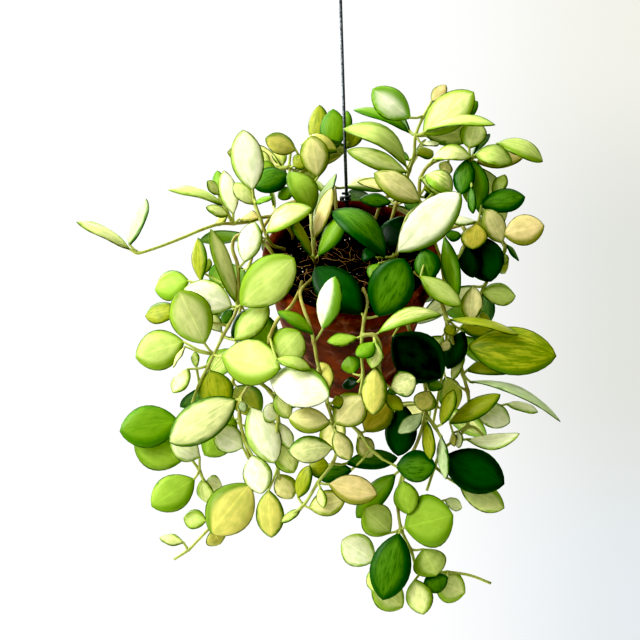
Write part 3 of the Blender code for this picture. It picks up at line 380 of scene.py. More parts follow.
# The plant's stems, read across the front view from left to right
VINES = {
    "vine_left_high": Vine(
        root=(-36, 20),
        route=[
            (-43, 24, -8), (-53, 25, -8), (-63, 22, -10), (-73, 21, -10), (-82, 20.5, -7), (-93, 17, -3),
            (-106, 11.5, 2), (-119, 6.5, 6), (-132, 2.5, 8), (-137, 4.5, 8),
        ],
        shoots=[
            [(-73, 21, -10), (-77, 28, -11), (-81, 36, -12), (-83, 44, -12)],
        ],
        leaves=[
            Leaf((-138, 5), (-171, 22), Look.PALE, 8, 8, 15, 62, 0.10),
            Leaf((-138, 7), (-127.5, 36.5), Look.MINT, 8, -6, 17, 48, 0.06),
            Leaf((-73, 27), (-79, 54), Look.WHITE, -9, 8, 13, 20, 0.05),
            Leaf((-79, 32), (-114, 42), Look.LIME, -12, 6, 15, 62, 0.14),
            Leaf((-76, 26), (-90, 31), Look.PALE, -8, 6, 9, 35),
            Leaf((-82, 40), (-83, 54), Look.GREEN, -12, -6, 8, 20),
            Leaf((-81, 38), (-89, 47), Look.PALE, -12, 2, 8, 30),
            Leaf((-74, 27), (-84, 21), Look.GOLD, -12, -10, 8, 30),
            Leaf((-69, 24), (-57, 24), Look.PEACH, -8, 8, 10, 40, 0.2),
        ],
    ),
    "vine_left_trail": Vine(
        root=(-40, -6),
        route=[
            (-46, -1, 9), (-52, 7, 12), (-61, 14, 8), (-71, 13, 3), (-73.5, 5, 2), (-70, -7, 5),
            (-70.5, -31, 8), (-76, -43, 10), (-79.5, -49.5, 10), (-85, -61, 9), (-88.5, -68, 8),
            (-94, -79, 5), (-99, -93, 3), (-101, -110, 1), (-100, -124, 0), (-94, -133.5, 0),
            (-91, -141, 0),
        ],
        leaves=[
            Leaf((-68.5, -30), (-34.5, -0.5), Look.LIME, 20, 10, 29, 6, 0.06, 0.12),
            Leaf((-66, -3), (-59.5, 22), Look.WHITE, 10, 4, 16, 15, 0.05),
            Leaf((-71, -29), (-87, 17.5), Look.PALE, 9, 3, 15, 45, 0.04),
            Leaf((-93, -15), (-95, 12), Look.OLIVE, 4, -4, 13, 38, 0.05),
            Leaf((-93, -15), (-88, -1), Look.LIME, 2, -4, 7, 20),
            Leaf((-101, -15), (-122, -20.5), Look.FRESH, 6, -8, 20, 18, 0.08),
            Leaf((-108, -33), (-128, -37), Look.OLIVE, 4, -6, 15, 25, 0.08),
            Leaf((-74, -31), (-104, -20), Look.WHITE, 9, 2, 22, 12, 0.10),
            Leaf((-73, -33), (-81, -42), Look.DEEP, 5, -6, 9, 30),
            Leaf((-91, -54), (-107, -21), Look.PALE, 11, 10, 27, 10, 0.06),
            Leaf((-104, -53), (-134, -63), Look.LIME, 6, 0, 26, 12, 0.06),
            Leaf((-103, -56), (-110, -69), Look.CREAM, 8, 0, 6, 55),
            Leaf((-101, -70), (-110.5, -85), Look.PALE, 7, 4, 13, 35, 0.05),
            Leaf((-96, -69), (-97, -59), Look.SPLASHED, 5, -2, 6, 25),
            Leaf((-74, -51), (-62, -32), Look.DARK_AND_SHADED, 6, -6, 10, 20),
            Leaf((-72, -52), (-51, -30), Look.LIME, 14, 2, 18, 22, 0.06),
            Leaf((-80, -62), (-43.5, -69.5), Look.LIME, 20, 17, 29, 5, 0.06, 0.12),
            Leaf((-88, -70), (-81, -96), Look.OLIVE, 7, 0, 24, 15, 0.05),
            Leaf((-107, -103), (-144, -109), Look.GREEN, 4, 2, 27, 12, 0.06, 0.12),
            Leaf((-103, -126), (-135, -117), Look.FRESH, 0, 0, 25, 15, 0.06),
            Leaf((-94, -125), (-112, -115), Look.WHITE, 5, 4, 17, 25),
            Leaf((-97.5, -139), (-124, -156), Look.FRESH, 0, 4, 23, 10, 0.06, 0.12),
            Leaf((-92, -139), (-89, -154), Look.PALE, -3, -4, 12, 25),
            Leaf((-90, -141), (-80, -143), Look.WHITE, -4, -6, 12, 25),
            Leaf((-80, -47), (-92, -33), Look.WHITE, 4, 0, 10, 20),
        ],
    ),
    "vine_left_upright": Vine(
        root=(-41, 8),
        route=[
            (-48, 7, 0), (-52, 13, 3), (-56, 24, 4), (-60, 36, 2), (-61, 46, -3),
        ],
        leaves=[
            Leaf((-61, 42), (-67, 79.5), Look.WHITE, 3, 10, 21, 8, 0.06, 0.14),
            Leaf((-60, 33), (-72, 46), Look.PALE, 0, -6, 14, 35),
            Leaf((-54.5, 14), (-23.5, 30.5), Look.PALE, 13, 6, 17, 30, 0.24),
            Leaf((-59, 34), (-48.5, 37), Look.GREEN, 8, 6, 8, 55),
        ],
    ),
    "vine_front_left": Vine(
        root=(-30, -20),
        route=[
            (-32, -22, 27), (-37, -31, 38), (-45, -39, 40), (-50, -50, 36), (-52, -62, 28), (-60, -76, 24),
            (-68, -88, 22), (-69, -101, 18), (-66, -114, 16), (-62, -128, 14), (-60, -140, 12),
            (-70, -155, 8), (-84, -166, 4), (-95, -177, 0), (-101, -183, 0), (-110, -189, 0),
        ],
        shoots=[
            [
                (-60, -76, 24), (-50, -84, 27), (-45, -95, 27), (-46, -110, 25), (-46, -124, 22),
                (-44, -140, 18),
            ],
        ],
        leaves=[
            Leaf((-46, -64), (-31, -46.5), Look.LIME, 36, 6, 23, 10, 0.06, 0.12),
            Leaf((-46, -64), (-24.5, -70.5), Look.LIME, 45, 2, 13, 52, 0.14),
            Leaf((-70, -88.5), (-113, -116), Look.EDGED, 17, 6, 26, 14, 0.08, 0.14),
            Leaf((-71, -100), (-91, -124), Look.FRESH, 10, -2, 23, 22),
            Leaf((-67, -119), (-85, -108.5), Look.WHITE, 14, 2, 18, 12, 0.06),
            Leaf((-68, -90), (-66, -97), Look.MINT, 26, 2, 6, 20),
            Leaf((-62, -94), (-47, -129), Look.WHITE, 24, 4, 21, 8, 0.06),
            Leaf((-61, -124), (-55, -148), Look.WHITE, 18, 2, 19, 14, 0.05),
            Leaf((-60, -139), (-87, -173), Look.GOLD, 16, 4, 30, 12, 0.07, 0.14),
            Leaf((-90, -165), (-104, -163), Look.LIME, 2, -4, 13, 20),
            Leaf((-88, -168), (-81, -179.5), Look.GOLD, 4, -2, 15, 20),
            Leaf((-104, -178.5), (-119, -175.5), Look.PALE, 0, 0, 9, 45),
            Leaf((-51, -146), (-49, -175.5), Look.GOLD, 20, 2, 18, 12, 0.06),
            Leaf((-45, -136), (-36, -151), Look.CREAM, 17, 2, 15, 18),
            Leaf((-46, -115), (-35, -135), Look.PALE, 22, 0, 16, 18),
            Leaf((-42, -101), (-54, -95), Look.WHITE, 24, 0, 13, 14),
            Leaf((-47, -83), (-38.5, -101), Look.PALE, 29, 2, 12, 20),
            Leaf((-44, -104), (-37, -120), Look.WHITE, 22, 0, 10, 25),
            Leaf((-50, -75), (-12.5, -86.5), Look.BRIGHT, 34, 9, 26, 10, 0.08),
        ],
    ),
    "vine_front_mid": Vine(
        root=(-20, -14),
        route=[
            (-25, -15, 19), (-31, -22, 33), (-29, -32, 43), (-25.5, -42, 47), (-22.5, -53, 47),
            (-20.5, -65, 45), (-17, -78, 42), (-14, -92, 39), (-10, -106, 37), (-8.5, -120, 36),
            (-11, -129, 35), (-20, -141, 33), (-29, -155, 30), (-41, -164, 28),
        ],
        shoots=[
            [(-14, -92, 39), (-4, -101, 36), (6, -110, 32), (13, -120, 29), (21, -127, 27)],
        ],
        leaves=[
            Leaf((-17, -45), (-9, -12), Look.HALVED, 47, 8, 16, 22, 0.08, 0.3),
            Leaf((-19, -51), (-45.5, -34), Look.GREEN, 49, 0, 15, 58, 0.14),
            Leaf((-14, -84.5), (-18.5, -66), Look.GOLD, 50, 2, 13, 14, 0.08, 0.3),
            Leaf((-17, -92), (-4, -90), Look.OLIVE, 40, 2, 9, 25),
            Leaf((-10, -105), (8.5, -87), Look.CREAM, 42, 6, 22, 15, 0.08, 0.3),
            Leaf((-11, -104), (-38.5, -101), Look.CREAM, 40, 2, 16, 14, 0.10),
            Leaf((-9, -119), (-38.5, -121.5), Look.EDGED, 38, 4, 17, 14, 0.08),
            Leaf((-9.5, -108), (0, -127), Look.CREAM, 41, 2, 13, 22, 0.06, 0.3),
            Leaf((7, -112), (25, -90), Look.YELLOW, 31, -4, 19, 20, 0.06),
            Leaf((5, -113), (14, -125), Look.CREAM, 28, -6, 13, 20),
            Leaf((-11.5, -130), (-26, -132), Look.OLIVE, 30, -2, 14, 18),
            Leaf((-2, -129), (30, -126), Look.DEEP, 22, -4, 13, 25),
            Leaf((1, -133), (-21, -137), Look.DEEP, 20, -4, 13, 25),
            Leaf((-13, -142), (17, -149), Look.PEACH, 34, 4, 18, 8, 0.06, 0.12),
            Leaf((-26, -157), (-3, -151), Look.CREAM, 31, 2, 16, 8, 0.06),
            Leaf((-19, -142), (-16.5, -157), Look.PALE, 36, 0, 7, 25),
            Leaf((-33, -152), (-25, -130), Look.OLIVE, 29, -2, 12, 35),
            Leaf((-31, -158), (-43, -166), Look.LIME, 28, 2, 6, 30),
            Leaf((29, -131), (53.5, -130.5), Look.DEEP, 28, 4, 20, 12, 0.06),
        ],
    ),
    "vine_front_right": Vine(
        root=(8, -26),
        route=[
            (11, -28, 32), (9, -38, 43), (7.5, -49, 48), (7, -61, 48), (8, -74, 46), (6, -86, 45),
        ],
        shoots=[
            [(7.5, -49, 48), (15, -49, 50), (19, -56, 50), (18, -66, 48), (20, -77, 46), (23, -88, 44)],
        ],
        leaves=[
            Leaf((8, -36), (-22, -6.5), Look.DARK_AND_SHADED, 42, -14, 25, 12, 0.06, 0.1),
            Leaf((6, -50.5), (-14.5, -53), Look.FRESH, 48, 2, 11, 45, 0.08),
            Leaf((16, -48), (57, -36), Look.SPLASHED, 50, -8, 15, 48, 0.2),
            Leaf((17, -52), (4, -62), Look.GREEN, 52, 4, 13, 40, 0.05, 0.3),
            Leaf((16, -53), (14, -70), Look.SPLASHED, 53, 4, 12, 30, 0.05, 0.3),
            Leaf((16, -68), (14.5, -99), Look.GOLD, 50, 2, 16, 12, 0.06, 0.25),
            Leaf((4, -79), (-1, -62), Look.GREEN, 44, -4, 13, 18, 0.08),
            Leaf((5, -78), (-5, -80), Look.SHADE_BLACK, 44, -6, 8, 30),
            Leaf((21, -84), (41, -75.5), Look.EDGED, 46, 2, 18, 28, 0.08, 0.3),
            Leaf((22, -86), (33, -96), Look.OLIVE, 46, 2, 10, 30, 0.08),
            Leaf((17, -37), (34, -1), Look.DEEP, 40, 10, 28, 6, 0.05, 0.12),
        ],
    ),
    "vine_centre": Vine(
        root=(-21, -6),
        route=[
            (-22.5, -1, 12), (-23, 8, 12), (-24, 18, 6), (-25, 29, -2), (-27, 38, -8),
        ],
        leaves=[
            Leaf((-22, 12), (-11, 43.5), Look.PEACH, 13, 4, 12, 35, 0.05),
            Leaf((-23, -2), (-39.5, 26.5), Look.OLIVE, 16, 4, 12, 55, 0.10),
            Leaf((-21, -1), (-1.5, 28.5), Look.GREEN, 18, 2, 15, 35, 0.06, 0.3),
            Leaf((-24, 27), (-38, 53.5), Look.FRESH, 2, -4, 20, 30, 0.24),
            Leaf((-26, 36), (-36.5, 50.5), Look.PALE, -8, -6, 8, 20),
            Leaf((-23, 22), (-8.5, 52), Look.MINT, -4, -8, 9, 40, 0.05),
        ],
    ),
    "vine_mid_right": Vine(
        root=(27, -4),
        route=[
            (29, 1, 10), (31, 9, 12), (33, 18, 8), (37, 27, 2), (45, 33, -2), (52, 40, -8),
        ],
        shoots=[
            [(31, 9, 12), (39, 6, 19), (48, 3, 22), (55, -6, 24)],
        ],
        leaves=[
            Leaf((30, 3), (69.5, 40), Look.BRIGHT, 22, 12, 25, 4, 0.05, 0.1),
            Leaf((27, 2), (33, 25.5), Look.SHADE_BLACK, 3, -8, 25, 16, 0.06, 0.1),
            Leaf((22, 0), (-11.5, 29), Look.DEEP, 22, -6, 21, 28, 0.26),
            Leaf((19, -2), (9, 5), Look.DARK_AND_SHADED, 24, -6, 14, 14),
            Leaf((18, -4), (13, -14), Look.GREEN, 26, 2, 11, 20),
            Leaf((46, 7), (50, -14.5), Look.DEEP, 24, 4, 17, 10, 0.06),
            Leaf((44, -12), (69.5, -30.5), Look.LIME, 32, 6, 17, 38, 0.08, 0.3),
            Leaf((46, 33), (15, 52.5), Look.CREAM, 3, 6, 19, 22, 0.10),
            Leaf((46, 38), (4.5, 47), Look.CREAM, -6, 8, 12, 35, 0.10),
        ],
    ),
    "vine_lower_right": Vine(
        root=(30, -22),
        route=[
            (31, -25, 30), (34, -36, 42), (38, -48, 38), (42, -62, 32), (46, -76, 30), (48, -90, 29),
            (47, -100, 29), (42, -116, 27), (36, -128, 24), (31, -142, 22), (30, -156, 22), (32, -170, 24),
            (38, -183, 23), (44, -197, 22), (61, -197, 16), (75, -199, 14), (88, -204, 12),
        ],
        shoots=[
            [(47, -98, 29), (53, -106, 31), (57, -113, 31)],
            [(32, -170, 24), (24, -182, 20), (17, -195, 18)],
        ],
        leaves=[
            Leaf((23, -46), (57.5, -75.5), Look.SHADE_BLACK, 40, 4, 30, 10, 0.06, 0.12),
            Leaf((33, -140), (37, -161), Look.FRESH, 27, 2, 16, 12, 0.04),
            Leaf((28, -136), (4, -163), Look.GREEN, 18, -4, 16, 30),
            Leaf((25.5, -173), (9, -157), Look.LIME, 24, 6, 21, 12, 0.06),
            Leaf((32, -169.5), (65, -162), Look.FRESH, 27, 8, 33, 6, 0.05, 0.12),
            Leaf((31, -171), (20.5, -214.5), Look.DEEP, 30, 4, 25, 8, 0.05, 0.12),
            Leaf((45, -181), (54, -199.5), Look.LIME, 24, 4, 22, 15, 0.05),
            Leaf((17, -191), (-5, -177), Look.WHITE, 14, -2, 21, 12, 0.05),
            Leaf((15, -194), (17, -210), Look.LIME, 20, 2, 13, 25),
            Leaf((14, -203), (33, -219), Look.PALE, 14, -2, 20, 15, 0.05),
            Leaf((40, -199), (46, -223.5), Look.PALE, 28, 2, 17, 14, 0.06),
            Leaf((61, -200), (46, -207), Look.DEEP, 24, 4, 13, 14),
            Leaf((52, -202), (72, -210), Look.PALE, 17, 0, 20, 14, 0.06),
            Leaf((59.5, -152), (70, -157), Look.WHITE, 10, -2, 9, 35),
            Leaf((45, -98), (30, -110), Look.MINT, 34, 2, 13, 45, 0.08, 0.3),
            Leaf((48, -103), (50.5, -127), Look.OLIVE, 33, 2, 10, 40, 0.05),
            Leaf((57, -112), (60, -139), Look.MINT, 34, 2, 9, 40, 0.05),
            Leaf((56, -108), (65, -83), Look.OLIVE, 34, 2, 11, 40, 0.05),
            Leaf((50, -84), (44, -96), Look.GOLD, 31, 2, 15, 20),
            Leaf((46, -78), (58, -82), Look.GREEN, 28, 4, 10, 45),
            Leaf((34, -93), (30, -124.5), Look.DARK_AND_SHADED, 27, -2, 20, 14),
        ],
    ),
    "vine_right_trail": Vine(
        root=(40, -12),
        route=[
            (46, -14, 20), (56, -26, 30), (60, -38, 32), (63, -50, 30), (68, -62, 28), (70.5, -73, 26),
            (73.5, -84, 24), (74.5, -95, 22), (73, -106, 20), (66, -114, 19), (57, -121, 19),
            (53, -131, 18), (48, -146, 16),
        ],
        shoots=[
            [(73, -106, 20), (78, -107, 19), (83.5, -111.5, 18)],
        ],
        leaves=[
            Leaf((59, -38.5), (105, -49), Look.OLIVE, 36, 8, 14, 66, 0.10),
            Leaf((74, -56), (129, -62), Look.STREAKED, 30, 10, 30, 10, 0.08, 0.14),
            Leaf((72, -71), (116, -64), Look.OLIVE, 22, 2, 18, 40, 0.08),
            Leaf((72, -44), (61, -70), Look.DARK_AND_SHADED, 28, 2, 15, 25),
            Leaf((69, -44), (91, -46), Look.OLIVE, 22, -6, 14, 30),
            Leaf((61, -42), (64, -49), Look.OLIVE, 36, 3, 8, 15),
            Leaf((62, -50), (58, -59), Look.CREAM, 33, 2, 8, 30),
            Leaf((64, -77), (71, -60), Look.PALE, 26, 2, 8, 40),
            Leaf((75, -78), (131.5, -103), Look.MINT, 26, 10, 15, 68, 0.14),
            Leaf((62, -104), (94, -86), Look.OLIVE, 26, 6, 14, 36, 0.06, 0.3),
            Leaf((76, -93), (100, -103.5), Look.WHITE, 18, 4, 17, 22, 0.08),
            Leaf((98, -92), (117.5, -97), Look.WHITE, 15, 2, 8, 40, 0.10),
            Leaf((73, -114), (106, -110.5), Look.WHITE, 17, 6, 14, 52, -0.10),
            Leaf((68, -107), (68, -119.5), Look.WHITE, 21, 2, 7, 40),
            Leaf((64, -109), (65, -118), Look.GOLD, 20, 0, 6, 40),
            Leaf((52, -122.5), (96.5, -142), Look.DARK_AND_SHADED, 23, 6, 27, 8, 0.06, 0.12),
            Leaf((69, -143), (96.5, -157), Look.PALE, 14, 0, 18, 22, 0.06),
        ],
    ),
    "vine_right": Vine(
        root=(39, 12),
        route=[
            (49, 14, -2), (59, 17, 2), (70, 20, 3), (80, 21, 2), (90, 15, 2), (97, 6, 0), (92, -6, 0),
            (84, -18, 4), (79, -30, 8), (76, -41, 10),
        ],
        shoots=[
            [(70, 20, 3), (73, 13, 10), (70, 4, 14), (64, -6, 16)],
        ],
        leaves=[
            Leaf((59, 12), (67.5, -25), Look.GREEN, 11, 12, 13, 38, 0.05, 0.25),
            Leaf((80, 13), (88, -15.5), Look.DARK_AND_SHADED, 4, 4, 25, 18, 0.06, 0.12),
            Leaf((97, 8), (105.5, -2.5), Look.DEEP, 0, -4, 8, 60),
            Leaf((93, -5), (98.5, 1), Look.LIME, 2, 4, 7, 30),
            Leaf((77, -18), (75, -40), Look.CREAM, 14, 4, 14, 20, 0.05),
            Leaf((77, -38), (87.5, -39), Look.OLIVE, 8, -4, 12, 35),
            Leaf((80, -22), (103.5, -24.5), Look.LIME, 6, -4, 17, 32, 0.08),
            Leaf((82, 32), (109.5, 37.5), Look.DEEP, 0, -2, 17, 22, 0.08),
            Leaf((95, 9), (85, 30), Look.CREAM, 8, 2, 16, 14, 0.06),
            Leaf((96, 14), (121.5, 19.5), Look.PEACH, 8, 4, 20, 12, 0.08),
            Leaf((79, 21), (76, 4.5), Look.YELLOW, 8, 6, 17, 18, 0.08),
            Leaf((78, 22), (61, 22.5), Look.WHITE, 8, 6, 9, 45),
            Leaf((72, 14), (60, 13), Look.DEEP, 8, 2, 10, 40),
            Leaf((90, 38), (97, 51.5), Look.LIME, -8, -2, 10, 30),
            Leaf((72, 10), (77, -13), Look.DARK_AND_SHADED, 8, 2, 14, 18, 0.06),
            Leaf((94, 4), (98, -10), Look.OLIVE, 3, -2, 11, 30),
        ],
        filled=(1, 4),
    ),
    "vine_high_left": Vine(
        root=(-19, 26),
        route=[
            (-24, 27, -14), (-30, 38, -18), (-36, 50, -22), (-38, 56, -23), (-37, 66, -26),
        ],
        shoots=[
            [(-36, 50, -22), (-26, 55, -23), (-16, 60, -24), (-6, 65, -27), (-1, 72, -30)],
            [(-38, 56, -23), (-47, 55, -24), (-54, 58, -26)],
        ],
        leaves=[
            Leaf((-34, 67), (-53, 74), Look.GOLD, -22, 6, 15, 18, 0.08),
            Leaf((-20, 50), (-24, 76), Look.CREAM, -16, 6, 19, 8, 0.06, 0.2),
            Leaf((-11, 66), (-10.5, 92.5), Look.GREEN, -26, -2, 17, 10, 0.06),
            Leaf((-20, 68), (-19, 95), Look.OLIVE, -32, -6, 14, 14, 0.06),
            Leaf((-2, 74), (-2, 91.5), Look.GREEN, -34, -4, 8, 20),
            Leaf((-8, 66), (-31, 71), Look.GOLD, -20, 4, 17, 35, 0.24),
            Leaf((-42, 56), (-46, 69), Look.PALE, -25, -4, 10, 15),
            Leaf((-50, 58), (-61.5, 66), Look.PALE, -26, 0, 10, 20),
            Leaf((-46, 53), (-58, 57.5), Look.FRESH, -22, 2, 11, 20),
            Leaf((-38, 55), (-28, 62), Look.OLIVE, -20, 2, 12, 20),
            Leaf((-37, 52), (-60, 43.5), Look.DEEP, -18, 6, 19, 22, 0.14),
            Leaf((-33, 44), (-45, 37), Look.GREEN, -14, 0, 10, 25),
            Leaf((-2, 68), (6, 83), Look.OLIVE, -32, -4, 13, 14),
        ],
        filled=(2, 3),
    ),
    "vine_high_right": Vine(
        root=(26, 30),
        route=[
            (29, 33, -20), (34, 44, -22), (37, 54, -22), (40, 63, -20), (41, 76, -18), (46, 88, -18),
            (51, 97, -18),
        ],
        leaves=[
            Leaf((37.5, 87), (14, 105), Look.HALVED, -14, 4, 21, 12, 0.06, 0.3),
            Leaf((46, 77), (77.5, 103), Look.PALE, -14, 6, 24, 12, 0.06, 0.14),
            Leaf((51, 97), (60, 107.5), Look.PEACH, -18, -2, 9, 15),
            Leaf((57, 85), (80, 97), Look.GREEN, -22, -4, 17, 20, 0.08),
            Leaf((48, 79), (89, 80.5), Look.LIME, -12, 6, 13, 48, 0.15),
            Leaf((37, 78), (2, 92), Look.GREEN, -24, -4, 14, 52, 0.14),
            Leaf((35, 57), (-4.5, 80), Look.LIME, -18, 6, 19, 38, 0.3),
            Leaf((35, 53), (-2, 66.5), Look.PALE, -14, 8, 15, 30, 0.08),
            Leaf((38, 60), (26, 66), Look.GREEN, -24, -6, 9, 40),
            Leaf((41, 64), (52, 66), Look.OLIVE, -22, -8, 11, 30),
            Leaf((44, 70), (56, 71), Look.WHITE, -16, -4, 7, 50),
            Leaf((28, 34), (6, 36), Look.DEEP, -23, 2, 11, 30),
            Leaf((34, 35), (47, 26), Look.DEEP, -16, 4, 10, 25),
        ],
        filled=(1, 3),
    ),
    "vine_right_high": Vine(
        root=(35, 24),
        route=[
            (39, 28, -15), (43, 38, -15), (44, 49, -13), (50, 58, -12), (62, 62, -10), (75, 62, -8),
            (84, 64, -8), (93, 70, -7),
        ],
        leaves=[
            Leaf((48, 61), (75.5, 62), Look.PALE, -8, 8, 15, 40, 0.3),
            Leaf((46, 52), (63.5, 40), Look.SPLASHED, -8, 6, 16, 22, 0.34),
            Leaf((44, 49), (61, 38.5), Look.PALE, -4, 8, 10, 35, 0.1),
            Leaf((43, 42), (55, 43.5), Look.OLIVE, -12, -4, 12, 25),
            Leaf((73, 61), (69.5, 39), Look.DEEP, -2, 4, 14, 20, 0.05),
            Leaf((77, 61), (80, 30), Look.GREEN, -4, 4, 18, 14, 0.08),
            Leaf((76, 44), (77, 27), Look.DEEP, 4, 4, 7, 40),
            Leaf((77, 64), (101.5, 59), Look.LIME, -3, 4, 16, 25, 0.26),
            Leaf((92, 71), (120.5, 59.5), Look.LIME, -4, 4, 15, 32, 0.2),
            Leaf((79, 59), (109, 63.5), Look.PEACH, -10, -2, 14, 30, 0.04),
            Leaf((74.5, 68), (79, 85), Look.PALE, -12, -2, 18, 22, 0.05),
            Leaf((62, 61), (58, 52), Look.CREAM, -12, -4, 10, 20),
            Leaf((45, 37), (60, 41), Look.DARK_AND_SHADED, -16, 0, 10, 30),
        ],
        filled=(1, 3),
    ),
    "vine_back_left": Vine(
        root=(-22, 34),
        route=[
            (-27, 34, -32), (-40, 33, -48), (-52, 22, -58), (-60, 4, -62), (-66, -18, -60), (-70, -42, -56),
            (-72, -66, -50), (-74, -90, -46), (-72, -114, -42),
        ],
        filled=(8, 1),
    ),
    "vine_back_mid": Vine(
        root=(-8, 35),
        route=[
            (-9, 35, -26), (-10, 43.5, -38), (-12, 42, -51), (-14, 30, -68), (-13, 10, -84),
            (-12, -12, -94), (-10, -36, -99), (-8, -60, -97), (-5, -84, -88), (-2, -106, -78),
        ],
        filled=(8, 1),
    ),
    "vine_back_right": Vine(
        root=(17, 36),
        route=[
            (21, 36, -36), (30, 38, -52), (42, 30, -62), (52, 12, -66), (58, -10, -66), (60, -34, -60),
            (60, -58, -52), (56, -82, -44), (52, -104, -38),
        ],
        filled=(8, 1),
    ),
}


def smooth(points: list[Vector], spacing: float, finer: int = 1) -> list[Vector]:
    """Reads a smooth curve through the given points.

    Args:
        points: the points that the curve passes through.
        spacing: the rough distance between the points read, before they are made finer.
        finer: how many times more points are read, in the same places and between them.

    Returns:
        The points read.
    """
    ends = [2 * points[0] - points[1], *points, 2 * points[-1] - points[-2]]
    found = [points[0]]
    for before, start, end, after in zip(ends, ends[1:], ends[2:], ends[3:]):
        count = max(1, round((end - start).length / spacing)) * finer
        for step in range(1, count + 1):
            t = step / count
            bend = (2 * before - 5 * start + 4 * end - after) * t**2
            twist = (3 * start - before - 3 * end + after) * t**3
            found.append(start + 0.5 * ((end - before) * t + bend + twist))
    return found


def stem_paths(vine: Vine, finer: int = 1) -> list[list[Vector]]:
    """Runs a vine's shoots from the mix along their routes.

    Args:
        vine: the stem with its side shoots.
        finer: how many times more points are read.

    Returns:
        Each shoot's points, the rooted one first, whose first stretch is straight down in the mix.
    """
    x, y = vine.root
    surface = mix_height(x, y)
    foot = in_pot(x, y, surface - ROOT_DEPTH)
    mouth = in_pot(x, y, surface + 2.5)
    route = [mouth, *(sight(*spot) for spot in vine.route)]
    shoots = [[sight(*spot) for spot in shoot] for shoot in vine.shoots]
    return [[foot, *smooth(route, STEM_SPACING, finer)],
            *(smooth(shoot, STEM_SPACING, finer) for shoot in shoots)]


def nearest(paths: list[list[Vector]], spot: Vector) -> Vector:
    """The point on the shoots nearest to a place, away from their cut ends and the stretch in the mix."""
    points = [point for path in paths for point in path[1:-1]]
    return min(points, key=lambda point: (point - spot).length)


def blade_of(leaf: Leaf, paths: list[list[Vector]]) -> Blade:
    """Turns a leaf of the sight frame into a blade in space.

    Args:
        leaf: the leaf. A positive roll turns its face up, or left when it stands.
        paths: the points of its vine's shoots.

    Returns:
        The blade, with its stalk on the nearest shoot.
    """
    base = sight(*leaf.base, leaf.depth)
    tip = sight(*leaf.tip, leaf.depth + leaf.lean)
    along = (tip - base).normalized()
    stalk = nearest(paths, base - along * STALK_REACH)
    if (base - stalk).dot(along) < STALK_LEAST:
        base += along * (STALK_LEAST - (base - stalk).dot(along))
    face = (TOWARD - along * TOWARD.dot(along)).normalized()
    side = along.cross(face)
    if side.dot(VIEW_UP - 0.3 * RIGHT) < 0:
        side = -side
    turn = math.radians(leaf.roll)
    face = face * math.cos(turn) + side * math.sin(turn)
    return Blade(stalk, base, tip, face, TOWARD, leaf.wide, leaf.arch, leaf.fold, leaf.look)


def filling(vine: Vine, paths: list[list[Vector]], rng: random.Random) -> Iterator[Blade]:
    """Grows pairs of leaves along a shoot by rule, each pair turned across the last, on the far side.

    Args:
        vine: the stem, which says how many pairs it has and where they start.
        paths: the points of its shoots.
        rng: the source of the small differences.

    Returns:
        The leaves, one by one.
    """
    pairs, first = vine.filled
    spots = paths[0][1:]
    for pair in range(pairs):
        step = min(len(spots) - 2, round(first + (pair + 0.6) * (len(spots) - 1 - first) / pairs))
        along = (spots[step + 1] - spots[step - 1]).normalized()
        out = (-TOWARD - along * -TOWARD.dot(along)).normalized()
        out = Matrix.Rotation(math.radians(FILL_TURN * (pair % 2) - FILL_TURN / 2), 3, along) @ out
        for side in (-1, 1):
            spread = Matrix.Rotation(side * math.radians(rng.uniform(*FILL_SPREAD)), 3, along) @ out
            way = (spread + 0.35 * along + Vector((0, 0, rng.uniform(*FILL_DROP)))).normalized()
            length = rng.uniform(*FILL_LENGTH)
            base = spots[step] + way * rng.uniform(*FILL_STALK)
            face = (out + Vector((0, 0, 0.9))).normalized()
            face = (face - way * face.dot(way)).normalized()
            look = FILL_LOOKS[(3 * pair + side) % len(FILL_LOOKS)]
            yield Blade(spots[step], base, base + way * length, face, face,
                        length * rng.uniform(*FILL_WIDTH), rng.uniform(*FILL_ARCH), FILL_FOLD, look)


def half_width(s: float) -> float:
    """Half the blade's width at s along it, as a share of its full width: an oval with drawn-in ends."""
    return 1.41 * s**0.78 * (1 - s) ** 0.72


def ring_points(blade: Blade) -> list[Vector]:
    """The corners that the coarse solid has on its blade, which tell one form of the leaf from another.

    Args:
        blade: the leaf's form.

    Returns:
        Three corners for each ring of the blade, in millimetres.
    """
    chord = blade.tip - blade.base
    length = chord.length
    side = (chord / length).cross(blade.face).normalized()
    points = []
    for ring in BLADE_RINGS:
        middle = blade.base + chord * ring + blade.face * (4 * blade.arch * length * ring * (1 - ring))
        half = blade.wide * half_width(ring)
        drop = blade.face * (blade.fold * half)
        points += [middle + side * half - drop, middle - side * half - drop,
                   middle + blade.face * BLADE_HALF_THICKNESS]
    return points


def moved(blade: Blade, slide: float, turn: float, bow: float) -> Blade:
    """Changes a blade a little, as the solids do to clear their leaves.

    Args:
        blade: the leaf's form.
        slide: how far its tip slides, in millimetres.
        turn: how far its face turns about its length, in degrees.
        bow: what is added to its arch.

    Returns:
        The changed form.
    """
    tip = blade.tip + blade.slide * slide
    along = (tip - blade.base).normalized()
    face = (blade.face - along * blade.face.dot(along)).normalized()
    face = Matrix.Rotation(math.radians(turn), 3, along) @ face
    return replace(blade, tip=tip, face=face, arch=blade.arch + bow)


